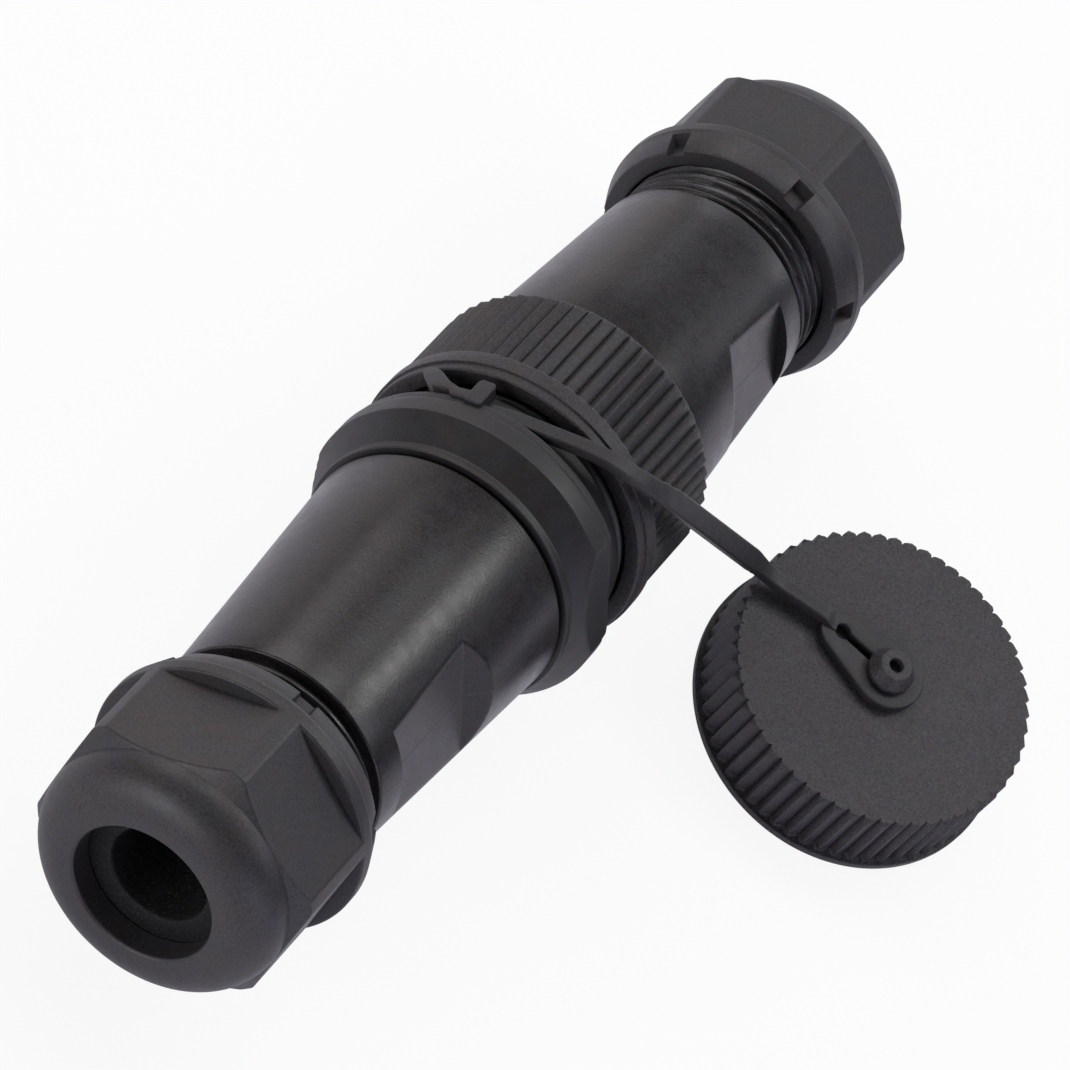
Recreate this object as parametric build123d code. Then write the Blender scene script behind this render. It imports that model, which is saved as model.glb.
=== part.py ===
"""Mated pair of cable connectors with gland nuts, a ribbed coupling ring and a tethered cap."""
import os
from math import cos, radians, sin, tan

from build123d import *

# The connector's axis is Y, from the front cable entry to the rear one. Z is up, sizes are millimetres.

# Clearances
RUNNING_CLEARANCE = 0.3
CLAMP_CLEARANCE = 0.35
SLIP_CLEARANCE = 0.15
SNUG_CLEARANCE = 0.05
AXIAL_PLAY = 0.3
SEAT_GAP = 0.2

# Cable gland, the same at both ends
NUT_ACROSS_FLATS = 25.0
NUT_FLAT_WALL = 1.2
NUT_LENGTH = 18.4
NUT_NOSE_DIAMETER = 16.4
NUT_NOSE_WALL = 2.6
NUT_DOME_STEP = 0.06
NUT_CORNER_CHAMFER_LENGTH = 1.2
NUT_COLLAR_DIAMETER = 28.0
NUT_COLLAR_LENGTH = 3.95
NUT_COLLAR_CHAMFER_LENGTH = 2.6
NUT_COLLAR_CHAMFER_DEPTH = 1.0
NUT_NOTCH_COUNT = 6
NUT_NOTCH_WIDTH = 2.0
NUT_NOTCH_LENGTH = 2.1
NUT_NOTCH_DEPTH = 1.5
NUT_CAGE_STEP = 0.9
NUT_CAGE_LAND = 2.6
NUT_THREAD_LEAD = 0.8
CABLE_HOLE_DIAMETER = 14.0
CABLE_HOLE_CHAMFER = 0.25
CABLE_HOLE_STEP = 0.6
SEAL_BORE_DIAMETER = 9.7
SEAL_RECESS = 2.9
SEAL_DIAMETER = 15.2
SEAL_CHAMFER = 0.6
SEAL_COLLAR_LENGTH = 1.8
SEAL_SEAT_WIDTH = 1.15
CAGE_BASE_LENGTH = 2.2
CAGE_FINGER_RECESS = 5.4
CAGE_SLOT_COUNT = 8
CAGE_SLOT_WIDTH = 1.6
GLAND_THREAD_DEPTH = 0.7
NECK_LENGTH = 8.8
NECK_WALL = 0.9
NECK_COUNTERBORE_DEPTH = 2.6
GLAND_GAP = 3.3
REAR_BACK_OFF = 1.5
FRONT_NUT_TURN = 2.5
REAR_NUT_TURN = 5.0

# Shells
FRONT_SHELL_LENGTH = 29.7
REAR_SHELL_LENGTH = 25.1
SHELL_SHOULDER_STEP = 0.4
SHELL_HUB_STEP = 0.25
SHELL_SHOULDER_WALL = 2.2
SHELL_EDGE_CHAMFER = 0.3
FLAT_ANGLE = 30.0
FLAT_DEPTH = 0.85
FLAT_WALL = 0.8
FLAT_START = 3.5
FLAT_RAMP_ANGLE = 40.0
FLAT_MOUTH_MARGIN = 1.7

# Front coupler
COUPLING_THREAD_DIAMETER = 26.4
COUPLING_THREAD_DEPTH = 0.6
COUPLER_TUBE_WALL = 1.85
SHELL_GASKET_THICKNESS = 0.4
SHELL_GASKET_WIDTH = 1.3
LIP_STEP = 0.2
LIP_THICKNESS = 0.9
HUB_STEP = 0.4
HUB_TAIL = 3.4
HUB_BEAD_HEIGHT = 0.25
HUB_BEAD_WIDTH = 0.6
FLANGE_HEIGHT = 2.1
FLANGE_CONE_LENGTH = 2.7
FLANGE_THICKNESS = 2.3
FLANGE_FLAT_DEPTH = 1.1
SOCKET_WALL = 1.2
KEY_WIDTH = 2.4
KEY_HEIGHT = 0.6

# Contacts and inserts
CONTACT_COUNT = 3
CONTACT_CIRCLE_DIAMETER = 10.0
PIN_DIAMETER = 2.5
PIN_LENGTH = 10.0
PIN_BODY_DIAMETER = 3.4
PIN_TIP_ROOM = 3.0
TERMINAL_DIAMETER = 4.2
TERMINAL_LENGTH = 6.5
WIRE_HOLE_DIAMETER = 2.4
WIRE_HOLE_DEPTH = 5.6
SCREW_DIAMETER = 2.0
SCREW_LENGTH = 1.9
SCREW_REACH = 0.6
SCREW_SLOT_WIDTH = 0.4
SCREW_SLOT_DEPTH = 0.5
INSERT_FLANGE_STEP = 0.9
INSERT_FLANGE_THICKNESS = 2.6
PIN_INSERT_LENGTH = 16.0
SOCKET_INSERT_LENGTH = 16.2
SOCKET_CONTACT_RECESS = 1.2
INTERFACE_SEAL_THICKNESS = 1.0
INTERFACE_SEAL_WIDTH = 1.0

# Coupling ring and plug body
COUPLING_GAP = 4.5
COUPLING_LENGTH = 14.3
COUPLING_WALL = 1.9
COUPLING_RIM_LENGTH = 3.0
COUPLING_FRONT_LIP_LENGTH = 1.1
COUPLING_LIP_STEP = 0.25
COUPLING_RIB_STEP = 0.3
COUPLING_RIB_DEPTH = 0.55
COUPLING_RIB_COUNT = 60
COUPLING_RIB_CHAMFER = 0.7
COUPLING_LIP_THICKNESS = 1.65
COUPLING_MOUTH_GAP = 1.45
PLUG_WALL = 1.85
PLUG_COLLAR_THICKNESS = 2.0
PLUG_STUB_LENGTH = 7.95
STUB_GASKET_THICKNESS = 0.8

# Cap
CAP_SIDE_OFFSET = 38.3
CAP_END_OFFSET = 26.2
CAP_TILT = 10.0
CAP_HEIGHT = 9.15
CAP_WALL = 2.25
CAP_TOP_WALL = 1.95
CAP_BASE_STEP = 0.35
CAP_BASE_THICKNESS = 0.9
CAP_RIB_COUNT = 58
CAP_RIB_DEPTH = 0.75
CAP_RIB_CHAMFER = 0.5
CAP_GASKET_WIDTH = 2.8
CAP_GASKET_THICKNESS = 1.0
BUTTON_STEM_DIAMETER = 3.0
BUTTON_HEAD_DIAMETER = 4.7
BUTTON_CROWN_DIAMETER = 3.2
BUTTON_HEAD_HEIGHT = 1.6
BUTTON_EDGE_HEIGHT = 0.5
BUTTON_HOLE_DIAMETER = 1.45
BUTTON_HOLE_DEPTH = 1.2
RIB_TIP_SHARE = 0.3

# Strap
STRAP_RING_WIDTH = 1.1
STRAP_RING_WALL = 1.75
STRAP_RING_FLAT_STEP = 0.2
STRAP_WIDTH = 1.65
STRAP_THICKNESS = 1.1
STRAP_ROOT_DROP = 0.05
STRAP_ROOT_OFFSET = 0.8
STRAP_CAP_GAP = 0.7
STRAP_START_ANGLE = 115.0
STRAP_ROOT_ANGLE = 101.0
STRAP_LEAD = 11.2
STRAP_CREST_RADIUS = 11.0
STRAP_FOOT_LENGTH = 8.0
STRAP_FOOT_RADIUS = 6.0
STRAP_TURN_OUT = (11.7, 3.9)
STRAP_TURN_OUT_RADIUS = 12.0
STRAP_TURN_IN = (9.1, 2.4)
STRAP_TURN_IN_RADIUS = 7.0
LUG_HEIGHT = 0.5
LUG_OUTLINE = ((117.5, -0.8), (124.0, -0.8), (124.0, 2.2), (123.0, 2.6), (118.5, 2.6), (117.5, 2.2))
HOOK_HEIGHT = 0.4
HOOK_OUTLINE = (
    (123.0, -0.5),
    (129.5, -0.5),
    (131.0, 0.1),
    (138.5, 0.35),
    (144.0, 1.6),
    (148.0, 3.0),
    (147.5, 3.7),
    (143.5, 3.6),
    (139.5, 2.9),
    (133.5, 1.45),
    (128.5, 0.75),
    (123.0, 0.75),
)
PADDLE_THICKNESS = 1.0
PADDLE_END_RADIUS = 3.7
PADDLE_NECK_RADIUS = 2.3
PADDLE_REACH = 5.9
PADDLE_RELIEF_DIAMETER = 1.6
PADDLE_SLOT_WIDTH = 0.85

# Gland radii, from the nut's flats inwards
gland_bore = NUT_ACROSS_FLATS / 2 - NUT_FLAT_WALL
gland_crest = gland_bore - SLIP_CLEARANCE
gland_root = gland_crest - GLAND_THREAD_DEPTH
neck_counterbore = gland_root - NECK_WALL
neck_bore = neck_counterbore - SEAL_SEAT_WIDTH
seal_collar = neck_counterbore - CLAMP_CLEARANCE
nut_cage_bore = gland_bore - NUT_CAGE_STEP
cage_outer = nut_cage_bore - CLAMP_CLEARANCE
cage_inner = SEAL_DIAMETER / 2 + SNUG_CLEARANCE

# Coupling radii, from the coupling thread inwards and outwards
coupling_crest = COUPLING_THREAD_DIAMETER / 2
coupling_root = coupling_crest - COUPLING_THREAD_DEPTH
coupling_bore = coupling_crest + RUNNING_CLEARANCE
coupling_rim = coupling_bore + COUPLING_WALL
socket_radius = coupling_root - SOCKET_WALL
plug_radius = socket_radius - RUNNING_CLEARANCE
insert_bore = plug_radius - PLUG_WALL
insert_radius = insert_bore - SLIP_CLEARANCE
insert_flange_bore = insert_bore + INSERT_FLANGE_STEP
insert_flange = insert_flange_bore - SLIP_CLEARANCE
tube_radius = insert_bore + COUPLER_TUBE_WALL
hub_radius = coupling_crest + HUB_STEP
flange_radius = hub_radius + FLANGE_HEIGHT
flange_flat = flange_radius - FLANGE_FLAT_DEPTH
strap_ring_inner = hub_radius + SLIP_CLEARANCE
strap_ring_outer = strap_ring_inner + STRAP_RING_WALL
cap_radius = coupling_bore + CAP_WALL
cap_base = cap_radius + CAP_BASE_STEP
contact_circle = CONTACT_CIRCLE_DIAMETER / 2
contact_angles = [90 + index * 360 / CONTACT_COUNT for index in range(CONTACT_COUNT)]

# Shell radii, from the gland at one end to the coupling at the other
shell_narrow = gland_crest + SHELL_SHOULDER_STEP
shell_wide = hub_radius - SHELL_HUB_STEP
flat_distance = shell_narrow - FLAT_DEPTH
shell_cavity = flat_distance - FLAT_WALL
shell_mouth = tube_radius + SLIP_CLEARANCE

# Stations along the axis, from the front gland seal's outer face
front_nose = -SEAL_RECESS
front_shoulder = front_nose + NUT_LENGTH + GLAND_GAP
front_shell_end = front_shoulder + FRONT_SHELL_LENGTH
coupler_face = front_shell_end + SHELL_GASKET_THICKNESS
lip_end = coupler_face + LIP_THICKNESS
flange_front = lip_end + FLANGE_CONE_LENGTH
flange_back = flange_front + FLANGE_THICKNESS
ring_back = flange_back + STRAP_RING_WIDTH
bead_start = ring_back + SNUG_CLEARANCE
bead_end = bead_start + HUB_BEAD_WIDTH
hub_end = ring_back + HUB_TAIL
socket_floor = ring_back
plug_front = socket_floor + INTERFACE_SEAL_THICKNESS + SEAT_GAP
coupling_front = ring_back + COUPLING_GAP
coupling_back = coupling_front + COUPLING_LENGTH
coupling_lip = coupling_back - COUPLING_LIP_THICKNESS
collar_back = coupling_lip - AXIAL_PLAY
collar_front = collar_back - PLUG_COLLAR_THICKNESS
coupler_mouth = collar_front - COUPLING_MOUTH_GAP
stub_end = collar_back + PLUG_STUB_LENGTH
stub_gasket_end = stub_end + STUB_GASKET_THICKNESS
rear_shell_front = coupling_back + AXIAL_PLAY
rear_shoulder = rear_shell_front + REAR_SHELL_LENGTH
rear_nose = rear_shoulder + GLAND_GAP + REAR_BACK_OFF + NUT_LENGTH

# Stations of the contacts
pin_insert_start = socket_floor - PIN_INSERT_LENGTH
pin_terminal_start = pin_insert_start - TERMINAL_LENGTH
pin_screw_station = pin_terminal_start + SCREW_DIAMETER
pin_tip = socket_floor + PIN_LENGTH
socket_contact_start = plug_front + SOCKET_CONTACT_RECESS
socket_hole_end = pin_tip + PIN_TIP_ROOM
socket_insert_end = plug_front + SOCKET_INSERT_LENGTH
socket_flange_start = socket_insert_end - INSERT_FLANGE_THICKNESS
socket_terminal_end = socket_insert_end + TERMINAL_LENGTH
socket_screw_station = socket_terminal_end - SCREW_DIAMETER

# Stations inside a gland, from the nut's nose
cage_seat = NUT_LENGTH + GLAND_GAP - NECK_LENGTH - SEAT_GAP
nut_thread_start = cage_seat - NUT_THREAD_LEAD
nut_cone_end = nut_thread_start - NUT_CAGE_LAND
nut_hex_end = NUT_LENGTH - NUT_COLLAR_LENGTH

# Placements: the rear gland and shell face the other way
front_gland_place = Pos(0, front_nose, 0)
rear_gland_place = Pos(0, rear_nose, 0) * Rot(0, 0, 180)
front_shell_place = Pos(0, front_shoulder, 0)
rear_shell_place = Pos(0, rear_shoulder, 0) * Rot(0, 0, 180)
floor = -max(strap_ring_outer, flange_radius)
cap_tilt = radians(CAP_TILT)
cap_y = ring_back + CAP_END_OFFSET
cap_top = floor + cap_base * sin(cap_tilt) + CAP_HEIGHT * cos(cap_tilt)
cap_top_place = Pos(CAP_SIDE_OFFSET, cap_y, cap_top) * Rot(CAP_TILT, 0, 0)


def turned(*corners):
    """Solid of revolution about Y from (radius, y) corners."""
    return revolve(make_face(Polyline(*corners, close=True)), Axis.Y)


def tube(inner, outer, start, end):
    """Plain tube about Y between two stations."""
    return turned((inner, start), (outer, start), (outer, end), (inner, end))


def rod(radius, start, end):
    """Plain cylinder about Y between two stations."""
    return turned((0, start), (radius, start), (radius, end), (0, end))


def disc(radius, height):
    """Cylinder standing on the XY plane."""
    return Cylinder(radius, height, align=(Align.CENTER, Align.CENTER, Align.MIN))


def around(angle):
    """Turn about Y that takes the +X side to an angle measured from +X towards +Z."""
    return Rot(0, -angle, 0)


def sector(inner, outer, start, end, first, last):
    """Part of a tube about Y between two angles."""
    outline = make_face(Polyline((inner, start), (outer, start), (outer, end), (inner, end), close=True))
    return around(last) * revolve(outline, Axis.Y, revolution_arc=last - first)


def section_at(station):
    """Sketch plane across the axis, with its normal along +Y."""
    return Plane((0, station, 0), x_dir=(1, 0, 0), z_dir=(0, 1, 0))


def saw_outline(tip, depth, count):
    """Closed outline of sawtooth ribs round a circle."""
    pitch = 360 / count
    corners = []
    for index in range(count):
        root_angle = radians(index * pitch)
        tip_angle = radians((index + RIB_TIP_SHARE) * pitch)
        corners.append(((tip - depth) * cos(root_angle), (tip - depth) * sin(root_angle)))
        corners.append((tip * cos(tip_angle), tip * sin(tip_angle)))
    return make_face(Polyline(*corners, close=True))


# Cable gland


def gland_nut():
    """Hexagon nut with a domed nose and a notched round collar, nose at the origin."""
    nose = NUT_NOSE_DIAMETER / 2
    collar = NUT_COLLAR_DIAMETER / 2
    hole = CABLE_HOLE_DIAMETER / 2
    dome_end = NUT_ACROSS_FLATS / 2 - NUT_DOME_STEP
    dome_length = dome_end - nose
    corner_start = dome_length + NUT_CORNER_CHAMFER_LENGTH
    dome = [
        Line((0, 0), (nose, 0)),
        RadiusArc((nose, 0), (dome_end, dome_length), -dome_length),
        Line((dome_end, dome_length), (collar, corner_start)),
        Line((collar, corner_start), (collar, nut_hex_end)),
        Line((collar, nut_hex_end), (0, nut_hex_end)),
        Line((0, nut_hex_end), (0, 0)),
    ]
    hexagon = RegularPolygon(NUT_ACROSS_FLATS / 2, 6, major_radius=False, rotation=FLAT_ANGLE)
    head = extrude(section_at(0) * hexagon, nut_hex_end) & revolve(make_face(dome), Axis.Y)
    rim = turned(
        (0, nut_hex_end),
        (collar, nut_hex_end),
        (collar, NUT_LENGTH - NUT_COLLAR_CHAMFER_LENGTH),
        (collar - NUT_COLLAR_CHAMFER_DEPTH, NUT_LENGTH),
        (0, NUT_LENGTH),
    )
    cavity = turned(
        (0, 0),
        (hole + CABLE_HOLE_CHAMFER, 0),
        (hole, CABLE_HOLE_CHAMFER),
        (hole, NUT_NOSE_WALL),
        (hole + CABLE_HOLE_STEP, NUT_NOSE_WALL),
        (nut_cage_bore, nut_cone_end),
        (nut_cage_bore, nut_thread_start),
        (gland_bore, nut_thread_start),
        (gland_bore, NUT_LENGTH),
        (0, NUT_LENGTH),
    )
    nut = head + rim - cavity
    notch = Pos(collar, NUT_LENGTH, 0) * Box(2 * NUT_NOTCH_DEPTH, 2 * NUT_NOTCH_LENGTH, NUT_NOTCH_WIDTH)
    for index in range(NUT_NOTCH_COUNT):
        nut -= around(FLAT_ANGLE + index * 360 / NUT_NOTCH_COUNT) * notch
    return nut


def gland_seal():
    """Rubber sleeve with a collar that seats behind the cage."""
    bore = SEAL_BORE_DIAMETER / 2
    sleeve = SEAL_DIAMETER / 2
    collar_end = cage_seat + SEAL_COLLAR_LENGTH
    return turned(
        (bore, SEAL_RECESS),
        (sleeve - SEAL_CHAMFER, SEAL_RECESS),
        (sleeve, SEAL_RECESS + SEAL_CHAMFER),
        (sleeve, cage_seat),
        (seal_collar, cage_seat),
        (seal_collar, collar_end),
        (bore, collar_end),
    )


def clamp_cage():
    """Claw ring whose fingers the nut's cone presses on to the seal."""
    cone_start = CABLE_HOLE_DIAMETER / 2 + CABLE_HOLE_STEP
    slope = (nut_cage_bore - cone_start) / (nut_cone_end - NUT_NOSE_WALL)
    tip = cone_start + slope * (CAGE_FINGER_RECESS - NUT_NOSE_WALL) - CLAMP_CLEARANCE
    cage = turned(
        (cage_inner, CAGE_FINGER_RECESS),
        (tip, CAGE_FINGER_RECESS),
        (cage_outer, nut_cone_end),
        (cage_outer, cage_seat),
        (cage_inner, cage_seat),
    )
    slot_end = cage_seat - CAGE_BASE_LENGTH
    slot_length = slot_end - CAGE_FINGER_RECESS
    slot = Pos(cage_outer, slot_end - slot_length / 2, 0) * Box(cage_outer, slot_length, CAGE_SLOT_WIDTH)
    for index in range(CAGE_SLOT_COUNT):
        cage -= around(index * 360 / CAGE_SLOT_COUNT) * slot
    return cage


# Shells


def shell(length, mouth_depth, flat_angle):
    """Tapered shell with a gland neck and two wrench flats, shoulder at the origin, neck towards -Y."""
    outside = turned(
        (0, -NECK_LENGTH),
        (gland_root, -NECK_LENGTH),
        (gland_root, 0),
        (shell_narrow - SHELL_EDGE_CHAMFER, 0),
        (shell_narrow, SHELL_EDGE_CHAMFER),
        (shell_wide, length - SHELL_EDGE_CHAMFER),
        (shell_wide - SHELL_EDGE_CHAMFER, length),
        (0, length),
    )
    cavity = turned(
        (0, -NECK_LENGTH),
        (neck_counterbore, -NECK_LENGTH),
        (neck_counterbore, NECK_COUNTERBORE_DEPTH - NECK_LENGTH),
        (neck_bore, NECK_COUNTERBORE_DEPTH - NECK_LENGTH),
        (neck_bore, SHELL_SHOULDER_WALL),
        (shell_cavity, SHELL_SHOULDER_WALL),
        (shell_cavity, length - mouth_depth),
        (shell_mouth, length - mouth_depth),
        (shell_mouth, length),
        (0, length),
    )
    ramp_end = length - mouth_depth - FLAT_MOUTH_MARGIN
    ramp_length = (shell_wide - flat_distance) / tan(radians(FLAT_RAMP_ANGLE))
    wedge = Polyline(
        (flat_distance, FLAT_START),
        (shell_wide, FLAT_START),
        (shell_wide, ramp_end),
        (flat_distance, ramp_end - ramp_length),
        close=True,
    )
    flat = extrude(make_face(wedge), shell_wide, both=True)
    body = outside - cavity
    for angle in (flat_angle, flat_angle + 180):
        body -= around(angle) * flat
    return body


# Front coupler and its seals


def flatted(body, distance, start, end):
    """A body with two opposite flats at a distance from the axis, between two stations."""
    beyond = Box(flange_radius, end - start, 2 * flange_radius, align=(Align.MIN, Align.MIN, Align.CENTER))
    for angle in (FLAT_ANGLE, FLAT_ANGLE + 180):
        body -= around(angle) * Pos(distance, start, 0) * beyond
    return body


def front_coupler():
    """Double-D flange with the coupling thread, the mating socket and a tube into the front shell."""
    lip = hub_radius + LIP_STEP
    outside = turned(
        (0, pin_insert_start),
        (tube_radius, pin_insert_start),
        (tube_radius, coupler_face),
        (lip, coupler_face),
        (lip, lip_end),
        (flange_radius, flange_front),
        (flange_radius, flange_back),
        (hub_radius, flange_back),
        (hub_radius, bead_start),
        (hub_radius + HUB_BEAD_HEIGHT, bead_start),
        (hub_radius + HUB_BEAD_HEIGHT, bead_end),
        (hub_radius, bead_end),
        (hub_radius, hub_end),
        (coupling_root, hub_end),
        (coupling_root, coupler_mouth),
        (0, coupler_mouth),
    )
    cavity = turned(
        (0, pin_insert_start),
        (insert_bore, pin_insert_start),
        (insert_bore, socket_floor - INSERT_FLANGE_THICKNESS),
        (insert_flange_bore, socket_floor - INSERT_FLANGE_THICKNESS),
        (insert_flange_bore, socket_floor),
        (socket_radius, socket_floor),
        (socket_radius, coupler_mouth),
        (0, coupler_mouth),
    )
    body = flatted(outside - cavity, flange_flat, coupler_face, flange_back)
    keyway_length = coupler_mouth - plug_front
    keyway = Box(
        2 * (KEY_HEIGHT + RUNNING_CLEARANCE),
        keyway_length,
        KEY_WIDTH + 2 * RUNNING_CLEARANCE,
    )
    return body - around(90) * Pos(plug_radius, coupler_mouth - keyway_length / 2, 0) * keyway


def interface_seal():
    """Flat ring on the floor of the coupler's socket."""
    outer = socket_radius - SLIP_CLEARANCE
    return tube(outer - INTERFACE_SEAL_WIDTH, outer, socket_floor, socket_floor + INTERFACE_SEAL_THICKNESS)


def front_shell_gasket():
    """Flat ring between the front shell and the coupler's lip."""
    return tube(shell_mouth, shell_mouth + SHELL_GASKET_WIDTH, front_shell_end, coupler_face)


# Inserts and contacts


def spaced(piece):
    """Copies of a piece at each contact's place."""
    return [around(angle) * Pos(contact_circle, 0, 0) * piece for angle in contact_angles]


def with_holes(body, *holes):
    """A body with each hole cut at every contact's place."""
    for hole in holes:
        for placed in spaced(hole):
            body -= placed
    return body


def pin_insert():
    """Insulator that carries the pins, flush with the socket floor."""
    body = rod(insert_radius, pin_insert_start, socket_floor)
    body += rod(insert_flange, socket_floor - INSERT_FLANGE_THICKNESS, socket_floor)
    return with_holes(body, rod(PIN_BODY_DIAMETER / 2 + SNUG_CLEARANCE, pin_insert_start, socket_floor))


def outwards(station):
    """Placement at a terminal's centre with local Z pointing away from the connector's axis."""
    return Pos(0, station, 0) * Rot(0, 90, 0)


def terminal_screw(station):
    """Slotted grub screw in a terminal's wall."""
    screw = disc(SCREW_DIAMETER / 2, SCREW_LENGTH)
    slot = Box(2 * SCREW_DIAMETER, SCREW_SLOT_WIDTH, 2 * SCREW_SLOT_DEPTH)
    return outwards(station) * Pos(0, 0, SCREW_REACH) * (screw - Pos(0, 0, SCREW_LENGTH) * slot)


def contact_pin():
    """Turned pin with a rounded tip and a screw terminal behind the insert, on its own axis."""
    pin = rod(TERMINAL_DIAMETER / 2, pin_terminal_start, pin_insert_start)
    pin += rod(PIN_BODY_DIAMETER / 2, pin_insert_start, socket_floor)
    pin += rod(PIN_DIAMETER / 2, socket_floor, pin_tip - PIN_DIAMETER / 2)
    pin += Pos(0, pin_tip - PIN_DIAMETER / 2, 0) * Sphere(PIN_DIAMETER / 2)
    pin -= rod(WIRE_HOLE_DIAMETER / 2, pin_terminal_start, pin_terminal_start + WIRE_HOLE_DEPTH)
    return pin - outwards(pin_screw_station) * disc(SCREW_DIAMETER / 2 + SNUG_CLEARANCE, TERMINAL_DIAMETER)


def socket_insert():
    """Insulator that carries the socket contacts inside the plug body."""
    body = rod(insert_radius, plug_front, socket_insert_end)
    body += rod(insert_flange, socket_flange_start, socket_insert_end)
    entry = rod(PIN_DIAMETER / 2 + RUNNING_CLEARANCE, plug_front, socket_contact_start)
    seat = rod(TERMINAL_DIAMETER / 2 + SNUG_CLEARANCE, socket_contact_start, socket_insert_end)
    return with_holes(body, entry, seat)


def contact_socket():
    """Turned socket with a screw terminal behind the insert, on its own axis."""
    body = rod(TERMINAL_DIAMETER / 2, socket_contact_start, socket_terminal_end)
    body -= rod(PIN_DIAMETER / 2 + RUNNING_CLEARANCE, socket_contact_start, socket_hole_end)
    body -= rod(WIRE_HOLE_DIAMETER / 2, socket_terminal_end - WIRE_HOLE_DEPTH, socket_terminal_end)
    screw_hole = disc(SCREW_DIAMETER / 2 + SNUG_CLEARANCE, TERMINAL_DIAMETER)
    return body - outwards(socket_screw_station) * screw_hole


# Rear half


def plug_body():
    """Tube that enters the coupler, with a collar for the coupling ring and a stub for the rear shell."""
    outside = turned(
        (0, plug_front),
        (plug_radius, plug_front),
        (plug_radius, collar_front),
        (coupling_crest, collar_front),
        (coupling_crest, collar_back),
        (tube_radius, collar_back),
        (tube_radius, stub_end),
        (0, stub_end),
    )
    cavity = turned(
        (0, plug_front),
        (insert_bore, plug_front),
        (insert_bore, socket_flange_start),
        (insert_flange_bore, socket_flange_start),
        (insert_flange_bore, stub_end),
        (0, stub_end),
    )
    key_length = coupler_mouth - plug_front
    key = Pos(plug_radius, plug_front + key_length / 2, 0) * Box(2 * KEY_HEIGHT, key_length, KEY_WIDTH)
    return outside + around(90) * key - cavity


def coupling_ring():
    """Ring with a stepped front rim and sawtooth ribs, trapped between the plug collar and rear shell."""
    rib_tip = coupling_rim - COUPLING_RIB_STEP
    rib_start = coupling_front + COUPLING_RIM_LENGTH
    lip = coupling_rim - COUPLING_LIP_STEP
    front_rim = turned(
        (0, coupling_front),
        (lip - COUPLING_LIP_STEP, coupling_front),
        (lip, coupling_front + COUPLING_LIP_STEP),
        (lip, coupling_front + COUPLING_FRONT_LIP_LENGTH),
        (coupling_rim, coupling_front + COUPLING_FRONT_LIP_LENGTH),
        (coupling_rim, rib_start - COUPLING_LIP_STEP),
        (lip, rib_start),
        (0, rib_start),
    )
    saw = saw_outline(rib_tip, COUPLING_RIB_DEPTH, COUPLING_RIB_COUNT)
    ribs = extrude(section_at(rib_start) * saw, coupling_back - rib_start)
    ribs &= turned(
        (0, rib_start),
        (rib_tip, rib_start),
        (rib_tip, coupling_back - COUPLING_RIB_CHAMFER),
        (rib_tip - COUPLING_RIB_CHAMFER, coupling_back),
        (0, coupling_back),
    )
    stub_hole = tube_radius + RUNNING_CLEARANCE
    bore = turned(
        (0, coupling_front),
        (coupling_bore, coupling_front),
        (coupling_bore, coupling_lip),
        (stub_hole, coupling_lip),
        (stub_hole, coupling_back),
        (0, coupling_back),
    )
    return front_rim + ribs - bore


def rear_shell_gasket():
    """Flat ring between the end of the plug stub and the rear shell's step."""
    return tube(shell_cavity + SLIP_CLEARANCE, tube_radius, stub_end, stub_gasket_end)


# Cap, built with its top face on the local XY plane


def cap_button():
    """Mushroom button on the cap's top, with a blind hole."""
    stem_height = PADDLE_THICKNESS + 2 * SEAT_GAP
    head_top = stem_height + BUTTON_HEAD_HEIGHT
    outline = Polyline(
        (0, 0),
        (BUTTON_STEM_DIAMETER / 2, 0),
        (BUTTON_STEM_DIAMETER / 2, stem_height),
        (BUTTON_HEAD_DIAMETER / 2, stem_height),
        (BUTTON_HEAD_DIAMETER / 2, stem_height + BUTTON_EDGE_HEIGHT),
        (BUTTON_CROWN_DIAMETER / 2, head_top),
        (BUTTON_HOLE_DIAMETER / 2, head_top),
        (BUTTON_HOLE_DIAMETER / 2, head_top - BUTTON_HOLE_DEPTH),
        (0, head_top - BUTTON_HOLE_DEPTH),
        close=True,
    )
    return revolve(Plane.XZ * make_face(outline), Axis.Z)


def cap():
    """Screw cap with sawtooth ribs, a base flange and a button for the strap."""
    base = Pos(0, 0, -CAP_HEIGHT)
    rib_base = Pos(0, 0, CAP_BASE_THICKNESS - CAP_HEIGHT)
    rib_length = CAP_HEIGHT - CAP_BASE_THICKNESS
    blank = rib_base * disc(cap_radius, rib_length)
    body = extrude(rib_base * saw_outline(cap_radius, CAP_RIB_DEPTH, CAP_RIB_COUNT), rib_length)
    body &= chamfer(blank.edges().group_by(Axis.Z)[-1], CAP_RIB_CHAMFER)
    body += base * disc(cap_base, CAP_BASE_THICKNESS)
    body -= base * disc(coupling_bore, CAP_HEIGHT - CAP_TOP_WALL)
    return cap_top_place * (body + cap_button())


def cap_gasket():
    """Flat ring under the cap's top wall."""
    outer = coupling_bore - SLIP_CLEARANCE
    ring = Circle(outer) - Circle(outer - CAP_GASKET_WIDTH)
    return cap_top_place * extrude(Pos(0, 0, -CAP_TOP_WALL) * ring, -CAP_GASKET_THICKNESS)


# Strap


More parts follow.
